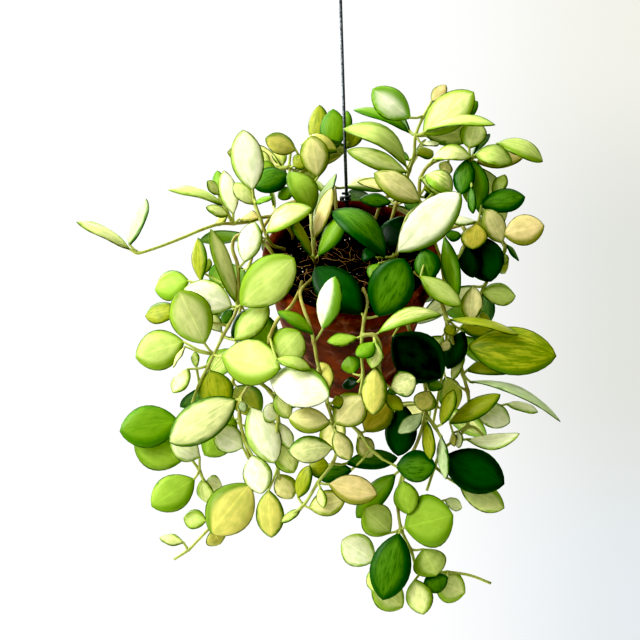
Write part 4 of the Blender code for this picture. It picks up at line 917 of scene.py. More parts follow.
def as_solid(blade: Blade, corners: KDTree) -> Blade | None:
    """Finds the form in which the vine's solid holds a leaf, since leaves are turned there to clear others.

    Args:
        blade: the leaf as its table row or rule gives it.
        corners: the corners of the vine's solid, in millimetres.

    Returns:
        The leaf's form, or None where the solid has no such leaf.
    """
    best, found = None, FEWEST_HELD
    for share in SHARES:
        tip = blade.base.lerp(blade.tip, 0.5 + 0.5 * share)
        smaller = replace(blade, tip=tip, wide=blade.wide * share)
        for slide in SLIDES:
            sharp = corners.find(smaller.tip + smaller.slide * slide)[2] < SAME_SPOT
            for turn in TURNS:
                for bow in BOWS if sharp or share == 1.0 else ():
                    form = moved(smaller, slide, turn, bow)
                    held = sum(corners.find(point)[2] < SAME_SPOT for point in ring_points(form))
                    held += TIP_WORTH * sharp
                    if held > found:
                        best, found = form, held
            if found >= ENOUGH_HELD:
                return best
    return best


def edge_wave(across: float, along: float, seed: float) -> float:
    """How far a leaf's sheet waves out of its curve, most at its edges and not at its ends.

    Args:
        across: the place across the leaf, from -1 to 1.
        along: the place along it, from 0 to 1.
        seed: the leaf's own number.

    Returns:
        The wave, in millimetres.
    """
    wave = EDGE_WAVE * across**2 * math.sin(9.0 * along + 40.0 * seed + 1.5 * across)
    wave += 0.5 * EDGE_WAVE * noise.noise(Vector((across * 1.5, along * 4.0, seed * 30.0)))
    return wave * min(1.0, 8.0 * along * (1 - along))


def leaf_blank() -> bpy.types.Mesh:
    """Makes the blank that every leaf is shaped from: a closed sheet, flat and square.

    Returns:
        The mesh: x from -1 to 1 across, y from 0 to 1 along and z from -1 to 1 through.
    """
    sheet = bmesh.new()
    bmesh.ops.create_grid(sheet, x_segments=LEAF_COLUMNS, y_segments=LEAF_ROWS, size=1.0)
    bmesh.ops.solidify(sheet, geom=sheet.faces[:], thickness=2.0)
    bmesh.ops.recalc_face_normals(sheet, faces=sheet.faces)
    for vert in sheet.verts:
        along = (vert.co.y + 1.0) / 2.0
        eased = 0.5 - 0.5 * math.cos(math.pi * along)
        vert.co = Vector((vert.co.x, 0.45 * along + 0.55 * eased, vert.co.z + 1.0))
    mesh = bpy.data.meshes.new("leaf_blank")
    sheet.to_mesh(mesh)
    sheet.free()
    return mesh


@dataclass
class Foliage:
    """The leaves and stems of one rooted vine, shaped where its solid holds them."""

    name: str
    vine: Vine
    blades: list[Blade]
    skin: bpy.types.Material
    bark: bpy.types.Material

    def shape_leaf(
        self, canvas: bmesh.types.BMesh, blank: bpy.types.Mesh, blade: Blade, seed: float
    ) -> None:
        """Adds one leaf: arched along, folded across, a little waved at its edge, and thin at its margin.

        Args:
            canvas: the mesh that holds the vine's leaves.
            blank: the flat sheet that the leaf is shaped from.
            blade: the form of the leaf.
            seed: a number of the leaf's own, which sets its waves and markings.

        Returns:
            Nothing.
        """
        start = len(canvas.verts)
        canvas.from_mesh(blank)
        canvas.verts.ensure_lookup_table()
        body, margin, share, streaks, lean = blade.look.value
        layers = canvas.verts.layers
        chord = blade.tip - blade.base
        length = chord.length
        side = (chord / length).cross(blade.face).normalized()
        tint = 1.0 + TINT_RANGE * math.sin(seed * 12.9898)
        for vert in canvas.verts[start:]:
            across, along, through = vert.co
            half = max(TIP_HALF_WIDTH, blade.wide * half_width(along))
            half = max(half, PETIOLE_RADIUS * (1.0 - 6.0 * along))
            rise = 4 * blade.arch * length * along * (1 - along)
            drop = blade.fold * half * abs(across) ** 1.6
            groove = GROOVE_DEPTH * math.exp(-((across * half / GROOVE_WIDTH) ** 2))
            groove *= math.sin(math.pi * min(1.0, along * 1.1))
            thick = LEAF_HALF_THICKNESS * (1.0 - 0.8 * abs(across) ** 4) * (1.0 - 0.55 * along**2)
            lift = rise - drop + edge_wave(across, along, seed) - groove + thick * through
            vert.co = (blade.base + chord * along + side * (across * half) + blade.face * lift) * MM
            leaning = (lean + SIDE_LEAN * (seed - 0.5)) * across
            vert[layers.float_vector["place"]] = Vector((across, along, seed))
            vert[layers.float["inset"]] = (1.0 - abs(across)) * half
            vert[layers.float["share"]] = blade.wide * 0.5 * (share + leaning)
            vert[layers.float["streaks"]] = streaks
            vert[layers.float_color["centre"]] = linear(body)
            vert[layers.float_color["margin"]] = Vector(linear(margin)) * tint

    def build_leaves(self, blank: bpy.types.Mesh) -> bpy.types.Object:
        """Builds the vine's leaves as one piece, since they grow on one plant.

        Args:
            blank: the flat sheet that each leaf is shaped from.

        Returns:
            The piece.
        """
        canvas = bmesh.new()
        canvas.verts.layers.float_vector.new("place")
        for layer in ("inset", "share", "streaks"):
            canvas.verts.layers.float.new(layer)
        for layer in ("centre", "margin"):
            canvas.verts.layers.float_color.new(layer)
        for number, blade in enumerate(self.blades):
            seed = (number * SEED_STEP + len(self.name) * SEED_OF_NAME) % 1.0
            self.shape_leaf(canvas, blank, blade, seed)
        return finished(f"{self.name}_leaves", canvas, self.skin)

    def build_stems(self) -> bpy.types.Object:
        """Builds the shoots, thinning to their tips and swollen where leaves grow, and the leaves' stalks.

        Returns:
            The piece.
        """
        shoots = stem_paths(self.vine, STEM_FINER)
        joints = [blade.stalk for blade in self.blades]
        runs, ages = [], []
        for number, shoot in enumerate(shoots):
            widths = []
            for step, spot in enumerate(shoot):
                share = step / (len(shoot) - 1)
                near = min((spot - joint).length for joint in joints)
                swell = math.exp(-(near / JOINT_REACH) ** 2)
                width = STEM_RADIUS + (TIP_RADIUS - STEM_RADIUS) * share
                widths.append(width * (STEM_SHARE + JOINT_SWELL * swell))
                age = self.vine.woody * (1.0 - TIP_YOUTH * share) * (1.0 if number == 0 else SHOOT_AGE)
                ages.append((spot, age))
            runs.append((shoot, widths))
        for blade in self.blades:
            along = (blade.tip - blade.base).normalized()
            sag = Vector((0, 0, -STALK_SAG * (blade.base - blade.stalk).length))
            middle = blade.stalk.lerp(blade.base, 0.5) + sag
            stalk = [blade.stalk, middle, blade.base, blade.base + along * STALK_SINK]
            ages += [(spot, STALK_AGE) for spot in stalk[1:]]
            runs.append((stalk, list(STALK_RADII)))
        stems = tubes(f"{self.name}_stems", runs, self.bark, 2)
        tree = KDTree(len(ages))
        for number, (spot, _) in enumerate(ages):
            tree.insert(spot, number)
        tree.balance()
        layer = stems.data.attributes.new("age", "FLOAT", "POINT")
        for number, vert in enumerate(stems.data.vertices):
            layer.data[number].value = ages[tree.find(vert.co / MM)[1]][1]
        return stems


def finished(name: str, canvas: bmesh.types.BMesh, material: bpy.types.Material) -> bpy.types.Object:
    """Turns mesh work into an object with a material and smooth shading.

    Args:
        name: the piece's name.
        canvas: the mesh work, which is freed.
        material: the piece's material.

    Returns:
        The object, linked to the scene.
    """
    mesh = bpy.data.meshes.new(name)
    canvas.to_mesh(mesh)
    canvas.free()
    mesh.materials.append(material)
    mesh.polygons.foreach_set("use_smooth", [True] * len(mesh.polygons))
    piece = bpy.data.objects.new(name, mesh)
    bpy.context.scene.collection.objects.link(piece)
    return piece


def tubes(
    name: str, runs: list[tuple[list[Vector], list[float]]], material: bpy.types.Material, sides: int
) -> bpy.types.Object:
    """Makes one mesh of round tubes.

    Args:
        name: the piece's name.
        runs: each tube's points and its radius at each, in millimetres.
        material: the piece's material.
        sides: the round bevel's resolution.

    Returns:
        The object, linked to the scene.
    """
    curve = bpy.data.curves.new(name, "CURVE")
    curve.dimensions = "3D"
    curve.bevel_depth = MM
    curve.bevel_resolution = sides
    curve.use_fill_caps = True
    for points, radii in runs:
        spline = curve.splines.new("POLY")
        spline.points.add(len(points) - 1)
        spline.use_smooth = True
        for knot, spot, radius in zip(spline.points, points, radii):
            knot.co = (*(spot * MM), 1.0)
            knot.radius = radius
    rough = bpy.data.objects.new(name, curve)
    mesh = bpy.data.meshes.new_from_object(rough)
    bpy.data.objects.remove(rough)
    canvas = bmesh.new()
    canvas.from_mesh(mesh)
    bmesh.ops.remove_doubles(canvas, verts=canvas.verts, dist=1e-6)
    bmesh.ops.recalc_face_normals(canvas, faces=canvas.faces)
    bpy.data.meshes.remove(mesh)
    return finished(name, canvas, material)


def turned(profile: list[tuple[float, float]], steps: int) -> bmesh.types.BMesh:
    """Turns a profile round the upright axis.

    Args:
        profile: the profile's radii and heights, in order.
        steps: how many steps the full turn has.

    Returns:
        The mesh work.
    """
    canvas = bmesh.new()
    line = [canvas.verts.new((radius, 0.0, height)) for radius, height in profile]
    edges = [canvas.edges.new(pair) for pair in zip(line, line[1:])]
    bmesh.ops.spin(canvas, geom=[*line, *edges], axis=(0, 0, 1), cent=(0, 0, 0), angle=math.tau,
                   steps=steps, use_merge=True, use_duplicate=False)
    bmesh.ops.remove_doubles(canvas, verts=canvas.verts, dist=1e-4)
    bmesh.ops.recalc_face_normals(canvas, faces=canvas.faces)
    return canvas


def hung(canvas: bmesh.types.BMesh, frame: Matrix = POT_PLACE) -> bmesh.types.BMesh:
    """Moves mesh work from a frame in millimetres, the pot's if none is given, to its place in metres."""
    bmesh.ops.transform(canvas, matrix=frame, verts=canvas.verts)
    return canvas


def spot_on_mix(rng: random.Random, radius: float) -> tuple[float, float]:
    """Draws a place on the mix, evenly within a radius.

    Args:
        rng: the source of the draw.
        radius: the radius round the pot's axis, in millimetres.

    Returns:
        The place's distances to the right and to the pot's back.
    """
    turn = rng.uniform(0, math.tau)
    out = radius * math.sqrt(rng.random())
    return out * math.cos(turn), out * math.sin(turn)


@dataclass(frozen=True)
class ClayPot:
    """The turned clay pot in its tilted hang, and the bark mix that fills it."""

    clay: bpy.types.Material
    mix: bpy.types.Material

    def build_pot(self) -> bpy.types.Object:
        """Builds the pot: rounded lip, collar, tapered wall with throwing lines, floor and drain hole.

        Returns:
            The piece.
        """
        body = RIM_RADIUS - COLLAR_STEP
        floor = -POT_HEIGHT + FLOOR
        profile = [
            (RIM_RADIUS - 1.6, -0.05),
            (RIM_RADIUS - 0.5, -0.45),
            (RIM_RADIUS, -1.5),
            (RIM_RADIUS - 0.15, -4.0),
            (RIM_RADIUS - 0.45, -COLLAR_HEIGHT + 2.2),
            (RIM_RADIUS - 0.8, -COLLAR_HEIGHT + 0.9),
            (RIM_RADIUS - 1.5, -COLLAR_HEIGHT),
            (body, -COLLAR_HEIGHT - 0.8),
        ]
        for ring in range(1, WALL_RINGS):
            share = ring / WALL_RINGS
            turning = THROWING_LINES * math.sin(ring * 2.1)
            profile.append((body + (BASE_RADIUS + 0.8 - body) * share + turning,
                            -COLLAR_HEIGHT - 0.8 + (COLLAR_HEIGHT + 2.3 - POT_HEIGHT) * share))
        profile += [
            (BASE_RADIUS + 0.8, -POT_HEIGHT + 1.5),
            (BASE_RADIUS - 0.1, -POT_HEIGHT + 0.35),
            (BASE_RADIUS - 1.0, -POT_HEIGHT),
            (DRAIN_RADIUS + 0.5, -POT_HEIGHT),
            (DRAIN_RADIUS, -POT_HEIGHT + 0.5),
            (DRAIN_RADIUS, floor),
            (inner_radius(floor) - 2.0, floor),
            (inner_radius(floor + 2.0), floor + 2.0),
            (inner_radius(-2.0), -2.0),
            (inner_radius(-0.5) + 0.2, -0.5),
            (inner_radius(0.0) + 1.2, -0.05),
            (RIM_RADIUS - 1.6, -0.05),
        ]
        return finished("clay_pot", hung(turned(profile, TURNED_STEPS)), self.clay)

    def build_plug(self) -> bpy.types.Object:
        """Builds the mix: crumbly on top, and a plain plug against the pot's wall and floor.

        Returns:
            The piece.
        """
        floor = -POT_HEIGHT + FLOOR + SEAT_GAP
        wall_top = -MIX_DEPTH - 2.5
        brim = inner_radius(wall_top) - MIX_GAP
        profile = [(0.0, -MIX_DEPTH)]
        profile += [(brim * (0.05 + 0.95 * ring / MIX_RINGS), -MIX_DEPTH) for ring in range(MIX_RINGS)]
        profile += [
            (brim, wall_top),
            (inner_radius(floor + 2.0) - MIX_GAP, floor + 2.0),
            (inner_radius(floor) - 2.6, floor),
            (0.0, floor),
        ]
        canvas = turned(profile, TURNED_STEPS)
        for vert in canvas.verts:
            x, y, height = vert.co
            if height > wall_top + 0.01:
                crumbs = CRUMB_HEIGHT * noise.fractal(Vector((x * 0.35, y * 0.35, 0.5)), 1.0, 2.0, 4)
                vert.co.z = mix_height(x, y) + crumbs
        return finished("bark_mix", hung(canvas), self.mix)

    def bits(
        self, name: str, count: int, seed: int, material: bpy.types.Material,
        size: tuple[float, float], shape: tuple[float, float, float],
    ) -> bpy.types.Object:
        """Scatters bits on the mix by a seeded rule: chips of bark or white specks.

        Args:
            name: the piece's name.
            count: how many bits there are.
            seed: the seed of their places.
            material: their material.
            size: the smallest and the largest bit's radius.
            shape: how much each bit is stretched along its own three axes.

        Returns:
            The piece.
        """
        rng = random.Random(seed)
        canvas = bmesh.new()
        for _ in range(count):
            x, y = spot_on_mix(rng, inner_radius(-6.0) - LITTER_RADIUS)
            turn = rng.uniform(0, math.tau)
            spin = Matrix.Rotation(turn, 4, Vector([rng.uniform(-1, 1) for _ in range(3)]))
            stretch = Matrix.Diagonal((*(rng.uniform(*size) * part for part in shape), 1.0))
            middle = Matrix.Translation((x, y, mix_height(x, y) + rng.uniform(-0.2, 0.9)))
            matrix = middle @ spin @ stretch
            made = bmesh.ops.create_icosphere(canvas, subdivisions=1, radius=1.0, matrix=matrix)
            for vert in made["verts"]:
                vert.co += 0.25 * size[0] * noise.noise_vector(vert.co * 0.9)
        piece = finished(name, hung(canvas), material)
        piece.data.polygons.foreach_set("use_smooth", [False] * len(piece.data.polygons))
        return piece

    def fibres(self, material: bpy.types.Material) -> bpy.types.Object:
        """Lays pale curled roots and bark fibres on the mix, by a seeded rule.

        Args:
            material: the fibres' material.

        Returns:
            The piece.
        """
        rng = random.Random(SEED + 2)
        runs = []
        for _ in range(FIBRE_COUNT):
            x, y = spot_on_mix(rng, FIBRE_FIELD)
            way = rng.uniform(0, math.tau)
            bend = rng.uniform(-0.45, 0.45)
            points = []
            for step in range(FIBRE_STEPS + 1):
                lift = 0.6 + 2.2 * math.sin(math.pi * step / FIBRE_STEPS) * rng.uniform(0.4, 1.0)
                if math.hypot(x, y) < FIBRE_LIMIT:
                    points.append(in_pot(x, y, mix_height(x, y) + lift))
                x += FIBRE_STRIDE * math.cos(way)
                y += FIBRE_STRIDE * math.sin(way)
                way += bend + rng.uniform(-0.3, 0.3)
            if len(points) > 3:
                thick = rng.uniform(0.22, 0.5)
                count = len(points)
                runs.append((points, [thick * (1.0 - 0.5 * step / count) for step in range(count)]))
        return tubes("root_fibres", runs, material, 0)


@dataclass(frozen=True)
class Hanger:
    """The galvanised wires: the hook in its ferrule, the straight wire, and the clip on the collar."""

    wire: bpy.types.Material

    def stem_line(self, height: float) -> Vector:
        """A point on the straight stretch, so far above the ferrule's lower end."""
        return STEM_TOP + WIRE_AXIS * height

    def bent(
        self, name: str, route: list[Vector], radius: float = WIRE_RADIUS, bevel: int = WIRE_BEVEL
    ) -> bpy.types.Object:
        """A wire of one thickness along a route."""
        return tubes(name, [(route, [radius] * len(route))], self.wire, bevel)

    def build_hook(self) -> bpy.types.Object:
        """Builds the hook: its arc over the bearing point, and the bend into the ferrule.

        Returns:
            The piece.
        """
        centre = Vector((0.0, 0.0, WIRE_RADIUS - HOOK_RADIUS))
        route = [centre + Vector((-HOOK_RADIUS - 1.5, 0, -9)),
                 centre + Vector((-HOOK_RADIUS - 0.2, 0, -4.5))]
        for step in range(HOOK_STEPS + 1):
            turn = math.radians(180 - 180 / HOOK_STEPS * step)
            route.append(centre + HOOK_RADIUS * Vector((math.cos(turn), 0, math.sin(turn))))
        route += [Vector((12.2, 0.2, -18.0)), Vector((8.6, 0.6, -22.5)), Vector((3.8, 1.0, -25.4)),
                  self.stem_line(FERRULE_LENGTH), self.stem_line(FERRULE_LENGTH - 1.5)]
        return self.bent("wire_hook", smooth(route, 2.0))

    def build_ferrule(self) -> bpy.types.Object:
        """Builds the ferrule under the hook, with the blind socket that holds the wire.

        Returns:
            The piece.
        """
        bore = WIRE_RADIUS + SEAT_GAP
        profile = [(0.0, FERRULE_LENGTH), (FERRULE_RADIUS - 0.4, FERRULE_LENGTH),
                   (FERRULE_RADIUS, FERRULE_LENGTH - 0.4), (FERRULE_RADIUS, 0.4),
                   (FERRULE_RADIUS - 0.4, 0.0), (bore + 0.1, 0.0), (bore, 0.2), (bore, SOCKET_DEPTH),
                   (0.0, SOCKET_DEPTH)]
        turn = WIRE_AXIS.to_track_quat("Z", "Y").to_matrix().to_4x4()
        seat = Matrix.Translation(STEM_TOP * MM) @ turn @ Matrix.Scale(MM, 4)
        return finished("ferrule", hung(turned(profile, 32), seat), self.wire)

    def build_wire(self) -> bpy.types.Object:
        """Builds the straight wire, with its bends over the mix and down inside the pot's back wall.

        Returns:
            The piece.
        """
        neck = in_pot(LEG_X, LEG_Y + 2.2, 0.8)
        top = in_pot(LEG_X, LEG_Y + 0.6, -1.5)
        end = in_pot(LEG_X, LEG_Y - 3.5, LEG_END)
        route = [self.stem_line(SOCKET_DEPTH - 0.5), HANGER_FOOT + Vector((-0.1, -0.4, 3.0)), HANGER_FOOT,
                 neck, top, end]
        return self.bent("hanging_wire", route)

    def build_clip(self) -> bpy.types.Object:
        """Builds the clip: twisted down the wire, over the rim, and curled in under the collar.

        Returns:
            The piece.
        """
        side = WIRE_AXIS.cross(POT_BACK).normalized()
        over = side.cross(WIRE_AXIS)
        gap = 2 * WIRE_RADIUS + SEAT_GAP
        coil = []
        for step in range(CLIP_STEPS + 1):
            turn = math.tau * CLIP_TURNS * step / CLIP_STEPS
            way = side * math.cos(turn) + over * math.sin(turn)
            height = CLIP_RISE - CLIP_PITCH * CLIP_TURNS * step / CLIP_STEPS
            coil.append(HANGER_FOOT + WIRE_AXIS * height + way * gap)
        x = LEG_X - 3.6
        outside = RIM_RADIUS + WIRE_RADIUS + SEAT_GAP
        under = -COLLAR_HEIGHT - 0.8 - WIRE_RADIUS - SEAT_GAP
        down = [
            in_pot(x + 1.0, LEG_Y + 7.0, 4.5),
            in_pot(x, outside - 2.0, 2.4),
            in_pot(x, outside, -1.0),
            in_pot(x, outside, -COLLAR_HEIGHT + 1.0),
            in_pot(x + 0.6, outside - 1.2, under + 0.2),
            in_pot(x + 5.5, outside - 2.4, under - 0.3),
        ]
        route = [*coil, *smooth([coil[-1], *down], 3.0, 3)[1:]]
        return self.bent("collar_clip", route, CLIP_RADIUS, 5)


TONES = {"data_type": "RGBA", "out": 2}
SMOOTH = {"interpolation_type": "SMOOTHSTEP"}


@dataclass
class Finish:
    """A material under way: its node tree, its main shader, and the piece's own coordinates."""

    name: str

    def __post_init__(self) -> None:
        """Starts the material."""
        self.material = bpy.data.materials.new(self.name)
        self.material.use_nodes = True
        self.tree = self.material.node_tree
        self.here = self.add("TexCoord", out="Object")

    def add(
        self, kind: str, inputs: dict | tuple = (), out: int | str = 0, **settings: object
    ) -> bpy.types.NodeSocket:
        """Adds a node to the material and gives one of its outputs."""
        return add_node(self.tree, kind, inputs, out, **settings)

    def patches(
        self, cloud: tuple[float, float, float], low: float, high: float, where: object = None
    ) -> bpy.types.NodeSocket:
        """Makes soft patches of noise.

        Args:
            cloud: the noise's scale in waves a metre, its detail and its roughness.
            low: the noise that is no patch yet.
            high: the noise that is all patch.
            where: the coordinates, if not the piece's own.

        Returns:
            The share of the patches, from 0 to 1.
        """
        noise_at = dict(zip(("Vector", "Scale", "Detail", "Roughness"), (where or self.here, *cloud)))
        return self.add("MapRange", (self.add("TexNoise", noise_at), low, high), **SMOOTH)

    def relief(
        self, cloud: tuple[float, float, float], strength: float, height: float
    ) -> bpy.types.NodeSocket:
        """Makes a fine uneven relief.

        Args:
            cloud: the noise's scale in waves a metre, its detail and its roughness.
            strength: how much of the relief shows.
            height: its height in metres.

        Returns:
            The surface's normal.
        """
        noise_at = dict(zip(("Vector", "Scale", "Detail", "Roughness"), (self.here, *cloud)))
        bumps = {"Height": self.add("TexNoise", noise_at), "Strength": strength, "Distance": height}
        return self.add("Bump", bumps)

    def fed(self, inputs: dict) -> bpy.types.Material:
        """Sets or links inputs of the main shader, and gives the material."""
        connect(self.tree, self.tree.nodes["Principled BSDF"], inputs)
        return self.material


@dataclass(frozen=True)
class WaxyLeaf:
    """Thick Hoya leaf: waxy, so broad soft highlights, and light that shows through its pale parts."""

    roughness: float = 0.36
    shine: float = 0.06
    glow: float = 0.20
    depth: float = 0.0012
    # Dark green of the line along the leaf's edge: partly the margin's own colour, partly painted shade on
    # the thick edge
    rim: str = "#163a06"

    def build(self) -> bpy.types.Material:
        """Builds the material from the leaf's own place, inset and colour attributes.

        Returns:
            The material.
        """
        leaf = Finish("waxy_variegated_leaf")
        add = leaf.add
        place = add("Attribute", out="Vector", attribute_name="place")
        across, along, _ = add("SeparateXYZ", (place,)).node.outputs
        inset = add("Attribute", out="Fac", attribute_name="inset")
        share = add("Attribute", out="Fac", attribute_name="share")
        streaks = add("Attribute", out="Fac", attribute_name="streaks")
        centre = add("Attribute", out="Color", attribute_name="centre")
        margin = add("Attribute", out="Color", attribute_name="margin")

        broad = add("VectorMath", (place, (1.0, 2.2, 37.0)), operation="MULTIPLY")
        fine = add("VectorMath", (place, (3.2, 1.6, 37.0)), operation="MULTIPLY")
        wander = add("TexNoise", {"Vector": broad, "Scale": 2.2, "Detail": 3.0, "Roughness": 0.55})
        wander = add("Math", (wander, 0.5), operation="SUBTRACT")
        tongues = add("TexNoise", {"Vector": fine, "Scale": 2.4, "Detail": 4.0, "Roughness": 0.65})
        tongues = add("Math", (tongues, 0.5), operation="SUBTRACT")

        reach = add("Math", (wander, 5.0, inset), operation="MULTIPLY_ADD")
        reach = add("Math", (tongues, 4.0, reach), operation="MULTIPLY_ADD")
        reach = add("Math", (reach, share), operation="SUBTRACT")
        soft = add("Math", (share,), operation="ABSOLUTE")
        soft = add("Math", (soft, 0.55, 0.4), operation="MULTIPLY_ADD")
        body = add("Math", (reach, soft), operation="DIVIDE")
        body = add("MapRange", (body, -1.0, 1.0), **SMOOTH)
        colour = add("Mix", {0: body, 6: margin, 7: centre}, **TONES)

        splash = add("Math", (streaks, 0.32, tongues), operation="MULTIPLY_ADD")
        splash = add("MapRange", (splash, 0.08, 0.30, 0.0, 0.7), **SMOOTH)
        streaked = add("MapRange", (streaks, 0.05, 0.45), **SMOOTH)
        splash = add("Math", (splash, streaked), operation="MULTIPLY")
        colour = add("Mix", {0: splash, 6: colour, 7: margin}, **TONES)

        flush = add("Math", (tongues, 0.4, wander), operation="MULTIPLY_ADD")
        flush = add("MapRange", (flush, -0.22, 0.22, 0.0, 0.33), **SMOOTH)
        colour = add("Mix", {0: flush, 6: colour, 7: margin}, **TONES)

        midrib = add("Math", (along, 1.0), operation="ADD")
        midrib = add("Math", (add("Math", (across,), operation="ABSOLUTE"), midrib), operation="MULTIPLY")
        midrib = add("MapRange", (midrib, 0.02, 0.10, 0.12, 0.0), **SMOOTH)
        colour = add("Mix", {0: midrib, 6: colour, 7: colour}, blend_type="ADD", **TONES)

        # Painted shade: a dark green line in patches along the leaf's edge, partly its dark margin and
        # partly the shade its thick edge takes
        edge = add("MapRange", (inset, 0.20, 1.00, 1.0, 0.0), **SMOOTH)
        thin = leaf.patches((3.0, 2.0, 0.5), 0.34, 0.62, broad)
        thin = add("Math", (thin, 0.55, 0.4), operation="MULTIPLY_ADD")
        edge_shade = add("Math", (edge, thin), operation="MULTIPLY")
        return leaf.fed({
            "Base Color": add("Mix", {0: edge_shade, 6: colour, 7: linear(self.rim)}, **TONES),
            "Roughness": add("Math", (wander, 0.15, self.roughness), operation="MULTIPLY_ADD"),
            "Specular IOR Level": 0.18,
            "Coat Weight": self.shine,
            "Coat Roughness": 0.22,
            "Subsurface Weight": self.glow,
            "Subsurface Radius": (1.0, 1.0, 0.35),
            "Subsurface Scale": self.depth,
            "Normal": leaf.relief((1400.0, 2.0, 0.5), 0.10, 0.0003),
        })


@dataclass(frozen=True)
class VineBark:
    """Vine stem: lime where it is young, olive further back, and corky tan-brown where it is woody."""

    young: str = "#b0bc62"
    olive: str = "#968c48"
    woody: str = "#8a5c3c"
    scars: str = "#5d4a30"

    def build(self) -> bpy.types.Material:
        """Builds the material from the stem's age attribute.

        Returns:
            The material.
        """
        bark = Finish("vine_bark")
        add = bark.add
        age = add("Attribute", out="Fac", attribute_name="age")
        aged = add("TexNoise", {"Vector": bark.here, "Scale": 160.0, "Detail": 4.0})
        aged = add("Math", (aged, 0.5, -0.25), operation="MULTIPLY_ADD")
        aged = add("Math", (aged, age), operation="ADD")
        ripe = add("MapRange", (aged, 0.05, 0.35), **SMOOTH)
        old = add("MapRange", (aged, 0.3, 0.75), **SMOOTH)
        scarred = bark.patches((1500.0, 3.0, 0.5), 0.55, 0.8)
        colour = linear(self.young)
        for share, tone in ((ripe, self.olive), (old, self.woody), (scarred, self.scars)):
            colour = add("Mix", {0: share, 6: colour, 7: linear(tone)}, **TONES)
        return bark.fed({
            "Base Color": colour,
            "Roughness": add("Math", (age, 0.3, 0.45), operation="MULTIPLY_ADD"),
            "Subsurface Weight": 0.08,
            "Subsurface Scale": 0.0008,
            "Normal": bark.relief((1100.0, 3.0, 0.5), 0.35, 0.0006),
        })


@dataclass(frozen=True)
class FiredClay:
    """Old terracotta: matt, blotched dark where it is wet and with painted shade, and bloomed pale with
    salts where it has dried.
    """

    # Darkest clay tone: partly wet clay, and partly painted shade from the leaves hanging over the pot
    damp_and_shade: str = "#3c1508"
    dry: str = "#804022"
    salt: str = "#b4876c"
    specks: str = "#5a2f20"

    def build(self) -> bpy.types.Material:
        """Builds the material.

        Returns:
            The material.
        """
        clay = Finish("fired_clay")
        add = clay.add
        dried = clay.patches((38.0, 5.0, 0.6), 0.36, 0.66)
        salted = add("Math", (clay.patches((70.0, 6.0, 0.7), 0.52, 0.72), 0.5), operation="MULTIPLY")
        specked = add("Math", (clay.patches((1300.0, 2.0, 0.5), 0.62, 0.75), 0.45), operation="MULTIPLY")
        colour = linear(self.damp_and_shade)
        for share, tone in ((dried, self.dry), (salted, self.salt), (specked, self.specks)):
            colour = add("Mix", {0: share, 6: colour, 7: linear(tone)}, **TONES)
        return clay.fed({
            "Base Color": colour,
            "Roughness": add("Math", (dried, 0.16, 0.72), operation="MULTIPLY_ADD"),
            "Specular IOR Level": 0.25,
            "Normal": clay.relief((700.0, 5.0, 0.5), 0.35, 0.0008),
        })


@dataclass(frozen=True)
class Mottled:
    """A finish of two tones in soft patches, with a fine relief and each cloud as Finish takes it."""

    name: str
    dark: str
    light: str
    cloud: tuple[float, float, float]
    span: tuple[float, float]
    roughness: float
    relief: tuple[float, float, float] = (1.0, 0.0, 0.5)
    strength: float = 0.0
    height: float = 0.0
    polish: float = 0.0
    metallic: float = 0.0
    specular: float = 0.5

    def build(self) -> bpy.types.Material:
        """Builds the material.

        Returns:
            The material.
        """
        work = Finish(self.name)
        share = work.patches(self.cloud, *self.span)
        looks = {
            "Base Color": work.add("Mix", {0: share, 6: linear(self.dark), 7: linear(self.light)}, **TONES),
            "Roughness": self.roughness,
            "Metallic": self.metallic,
            "Specular IOR Level": self.specular,
        }
        if self.polish:
            levels = (share, -self.polish, self.roughness)
            looks["Roughness"] = work.add("Math", levels, operation="MULTIPLY_ADD")
        if self.strength:
            looks["Normal"] = work.relief(self.relief, self.strength, self.height)
        return work.fed(looks)


# Potting mix of fine black peat and bark: matt, broken up and nearly black, partly its wet peat and partly
# painted shade inside the pot's mouth
BARK_MIX = Mottled(
    "bark_mix", "#030202", "#130c07", cloud=(260.0, 6.0, 0.7), span=(0.35, 0.7), roughness=0.95,
    relief=(260.0, 6.0, 0.7), strength=0.9, height=0.002, specular=0.15,
)

# Chips, fibres and specks on the mix: dry and matt, each a little unlike the next
BARK_CHIPS = Mottled(
    "bark_chips", "#2b1a10", "#6b4a30", cloud=(150.0, 4.0, 0.6), span=(0.35, 0.65), roughness=0.85,
    relief=(1800.0, 3.0, 0.5), strength=0.5, height=0.0004,
)
WHITE_GRIT = replace(BARK_CHIPS, name="white_grit", dark="#cfc8bb", light="#f1eee6", roughness=0.7)
ROOT_FIBRE = replace(BARK_CHIPS, name="root_fibre", dark="#6a4a30", light="#b99a72")

# Galvanised steel wire, weathered dull grey, so its highlights are broad and mottled
GALVANISED_WIRE = Mottled(
    "galvanised_wire", "#3f4346", "#7c8184", cloud=(900.0, 4.0, 0.65), span=(0.35, 0.7), roughness=0.52,
    relief=(2200.0, 2.0, 0.5), strength=0.2, height=0.0002, polish=0.14, metallic=0.85,
)

# Emulsion paint on a smooth floor: flat and even, so it only carries soft light
PALE_FLOOR = Mottled(
    "pale_floor", "#eceeee", "#f4f4f2", cloud=(3.0, 3.0, 0.5), span=(0.3, 0.7), roughness=0.7,
)


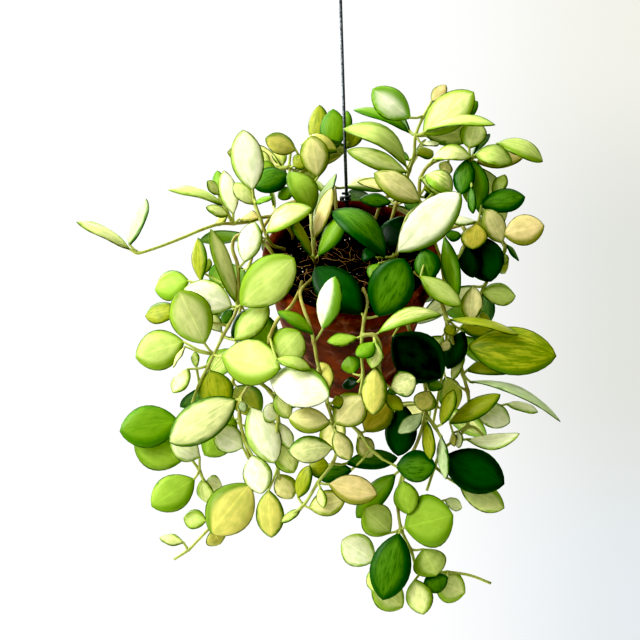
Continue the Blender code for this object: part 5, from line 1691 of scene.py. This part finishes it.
@dataclass(frozen=True)
class Studio:
    """The bright room: a pale floor far below, a large soft window of light at the left, a pale wall."""

    exposure: float = 0.55
    gamma: float = 0.78
    black: float = 0.02
    key_power: float = 14.0
    back_power: float = 14.0
    bright_side: tuple[float, float, float] = (-0.7, 0.35, 0.62)
    dim: float = 0.27
    bright: float = 1.5
    # Tones of the wall as the view shows it, which paint the light and shade across it
    wall_left: str = "#dadada"
    wall_right: str = "#c5c6c2"
    wall_high: str = "#d0d0ca"
    wall_low: str = "#c8ccce"
    glow: str = "#f8f8f4"

    def set_view(self) -> None:
        """Sets how the render's light is shown: a little lifted, with its blacks kept."""
        view = bpy.context.scene.view_settings
        view.view_transform = "Standard"
        view.exposure = self.exposure
        view.gamma = self.gamma
        view.use_curve_mapping = True
        view.curve_mapping.black_level = (self.black,) * 3
        view.curve_mapping.update()

    def build_camera(self) -> bpy.types.Object:
        """Sets up the camera of the front view.

        Returns:
            The camera.
        """
        lens = bpy.data.cameras.new("front_camera")
        lens.lens = VIEW_LENS
        lens.sensor_width = VIEW_SENSOR
        lens.clip_start = 0.01
        camera = bpy.data.objects.new("front_camera", lens)
        bpy.context.scene.collection.objects.link(camera)
        camera.location = sight(*VIEW_CENTRE, VIEW_RANGE) * MM
        camera.rotation_euler = (-TOWARD).to_track_quat("-Z", "Y").to_euler()
        bpy.context.scene.camera = camera
        return camera

    def build_floor(self) -> bpy.types.Object:
        """Lays the plain pale floor well below the hanging pot.

        Returns:
            The floor.
        """
        canvas = bmesh.new()
        bmesh.ops.create_circle(canvas, cap_ends=True, radius=1.3, segments=96)
        bmesh.ops.translate(canvas, verts=canvas.verts, vec=(0, 0, -1.05))
        floor = finished("pale_floor", canvas, PALE_FLOOR.build())
        return floor

    def build_lights(self) -> None:
        """Lights the plant: the large soft window at the upper left, and a lift from above and behind."""
        self.add_light("window_light", (-1.05, -0.45, 0.55), 0.9, self.key_power)
        self.add_light("back_light", (-0.7, 0.95, 0.35), 1.2, self.back_power)

    def add_light(self, name: str, where: tuple[float, float, float], size: float, power: float) -> None:
        """Adds a soft square light that faces the plant.

        Args:
            name: the light's name.
            where: its place.
            size: its side, in metres.
            power: its power, in watts.

        Returns:
            Nothing.
        """
        lamp = bpy.data.lights.new(name, "AREA")
        lamp.size = size
        lamp.energy = power
        light = bpy.data.objects.new(name, lamp)
        bpy.context.scene.collection.objects.link(light)
        light.location = where
        light.rotation_euler = (RIM_CENTRE * MM - light.location).to_track_quat("-Z", "Y").to_euler()

    def build_wall(self) -> None:
        """Makes the pale wall that the view shows, and the room's light.

        Returns:
            Nothing.
        """
        world = bpy.data.worlds.new("bright_room")
        world.use_nodes = True
        tree = world.node_tree
        bpy.context.scene.world = world
        add = partial(add_node, tree)
        seen = add("LightPath", out="Is Camera Ray")
        ray = add("TexCoord", out="Generated")
        right, _, up = add("SeparateXYZ", (ray,)).node.outputs
        # Painted light and shade on the wall: lightest at the left towards the window, shaded darker to the
        # right, a little lighter above and bluer below
        wall = linear(self.wall_right)
        ramps = ((up, -0.13, 0.0, self.wall_high), (up, -0.20, -0.33, self.wall_low),
                 (right, 0.20, 0.04, self.wall_left))
        for way, start, end, tone in ramps:
            shade = add("MapRange", (way, start, end), **SMOOTH)
            wall = add("Mix", {0: shade, 6: wall, 7: linear(tone)}, **TONES)
        lean = add("VectorMath", (ray, self.bright_side), "Value", operation="DOT_PRODUCT")
        level = add("MapRange", (lean, -0.35, 0.95, self.dim, self.bright), **SMOOTH)
        connect(tree, tree.nodes["Background"], {
            "Color": add("Mix", {0: seen, 6: linear(self.glow), 7: wall}, **TONES),
            "Strength": add("Mix", {0: seen, 2: level, 3: 1.0}, data_type="FLOAT"),
        })


def solid_corners(solid: bpy.types.Object) -> KDTree:
    """Makes the corners of a solid ready to be searched.

    Args:
        solid: the solid.

    Returns:
        Its corners, in millimetres.
    """
    corners = solid.data.vertices
    tree = KDTree(len(corners))
    for number, corner in enumerate(corners):
        tree.insert(corner.co / MM, number)
    tree.balance()
    return tree


def grown(nodes: dict[str, bpy.types.Object]) -> dict[str, list[Blade]]:
    """Finds the form of every leaf that the solids hold.

    Args:
        nodes: the solids by name.

    Returns:
        Each vine's leaves.
    """
    rng = random.Random(SEED)
    found = {}
    for name, vine in VINES.items():
        paths = stem_paths(vine)
        wanted = [blade_of(leaf, paths) for leaf in vine.leaves]
        wanted += list(filling(vine, paths, rng))
        corners = solid_corners(nodes[name])
        forms = [as_solid(blade, corners) for blade in wanted]
        found[name] = [form for form in forms if form]
        log.info("%s: %d of %d leaves", name, len(found[name]), len(wanted))
    return found


def put(piece: bpy.types.Object, node: str | None = None) -> None:
    """Hangs a piece on the plant's body, and hides the solid that it stands for.

    Args:
        piece: the piece.
        node: the solid that it stands for, if it stands for one.

    Returns:
        Nothing.
    """
    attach(piece, "root")
    if node:
        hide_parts(node)
    log.info("built %s", piece.name)


def main() -> None:
    """Builds and dresses the potted plant, piece by piece."""
    logging.basicConfig(level=logging.INFO, format="%(message)s")
    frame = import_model()
    studio = Studio()
    studio.set_view()
    studio.build_camera()
    studio.build_wall()
    studio.build_lights()
    studio.build_floor()

    hanger = Hanger(GALVANISED_WIRE.build())
    put(hanger.build_hook(), "hook")
    put(hanger.build_ferrule(), "hook")
    put(hanger.build_wire(), "wire_hanger")
    put(hanger.build_clip(), "hanger_clip")

    pot = ClayPot(FiredClay().build(), BARK_MIX.build())
    put(pot.build_pot(), "pot")
    put(pot.build_plug(), "potting_mix")
    chips = pot.bits("bark_chips", CHIP_COUNT, SEED + 3, BARK_CHIPS.build(), (0.8, 2.2), (1.0, 0.7, 0.35))
    put(chips)
    grit = pot.bits("white_grit", GRIT_COUNT, SEED + 4, WHITE_GRIT.build(), (0.35, 0.9), (1.0, 0.9, 0.8))
    put(grit)
    put(pot.fibres(ROOT_FIBRE.build()))

    blades = grown(frame["nodes"])
    skin = WaxyLeaf().build()
    bark = VineBark().build()
    blank = leaf_blank()
    for name, vine in VINES.items():
        foliage = Foliage(name, vine, blades[name], skin, bark)
        put(foliage.build_leaves(blank), name)
        put(foliage.build_stems(), name)
    bpy.data.meshes.remove(blank)


if __name__ == "__main__":
    main()
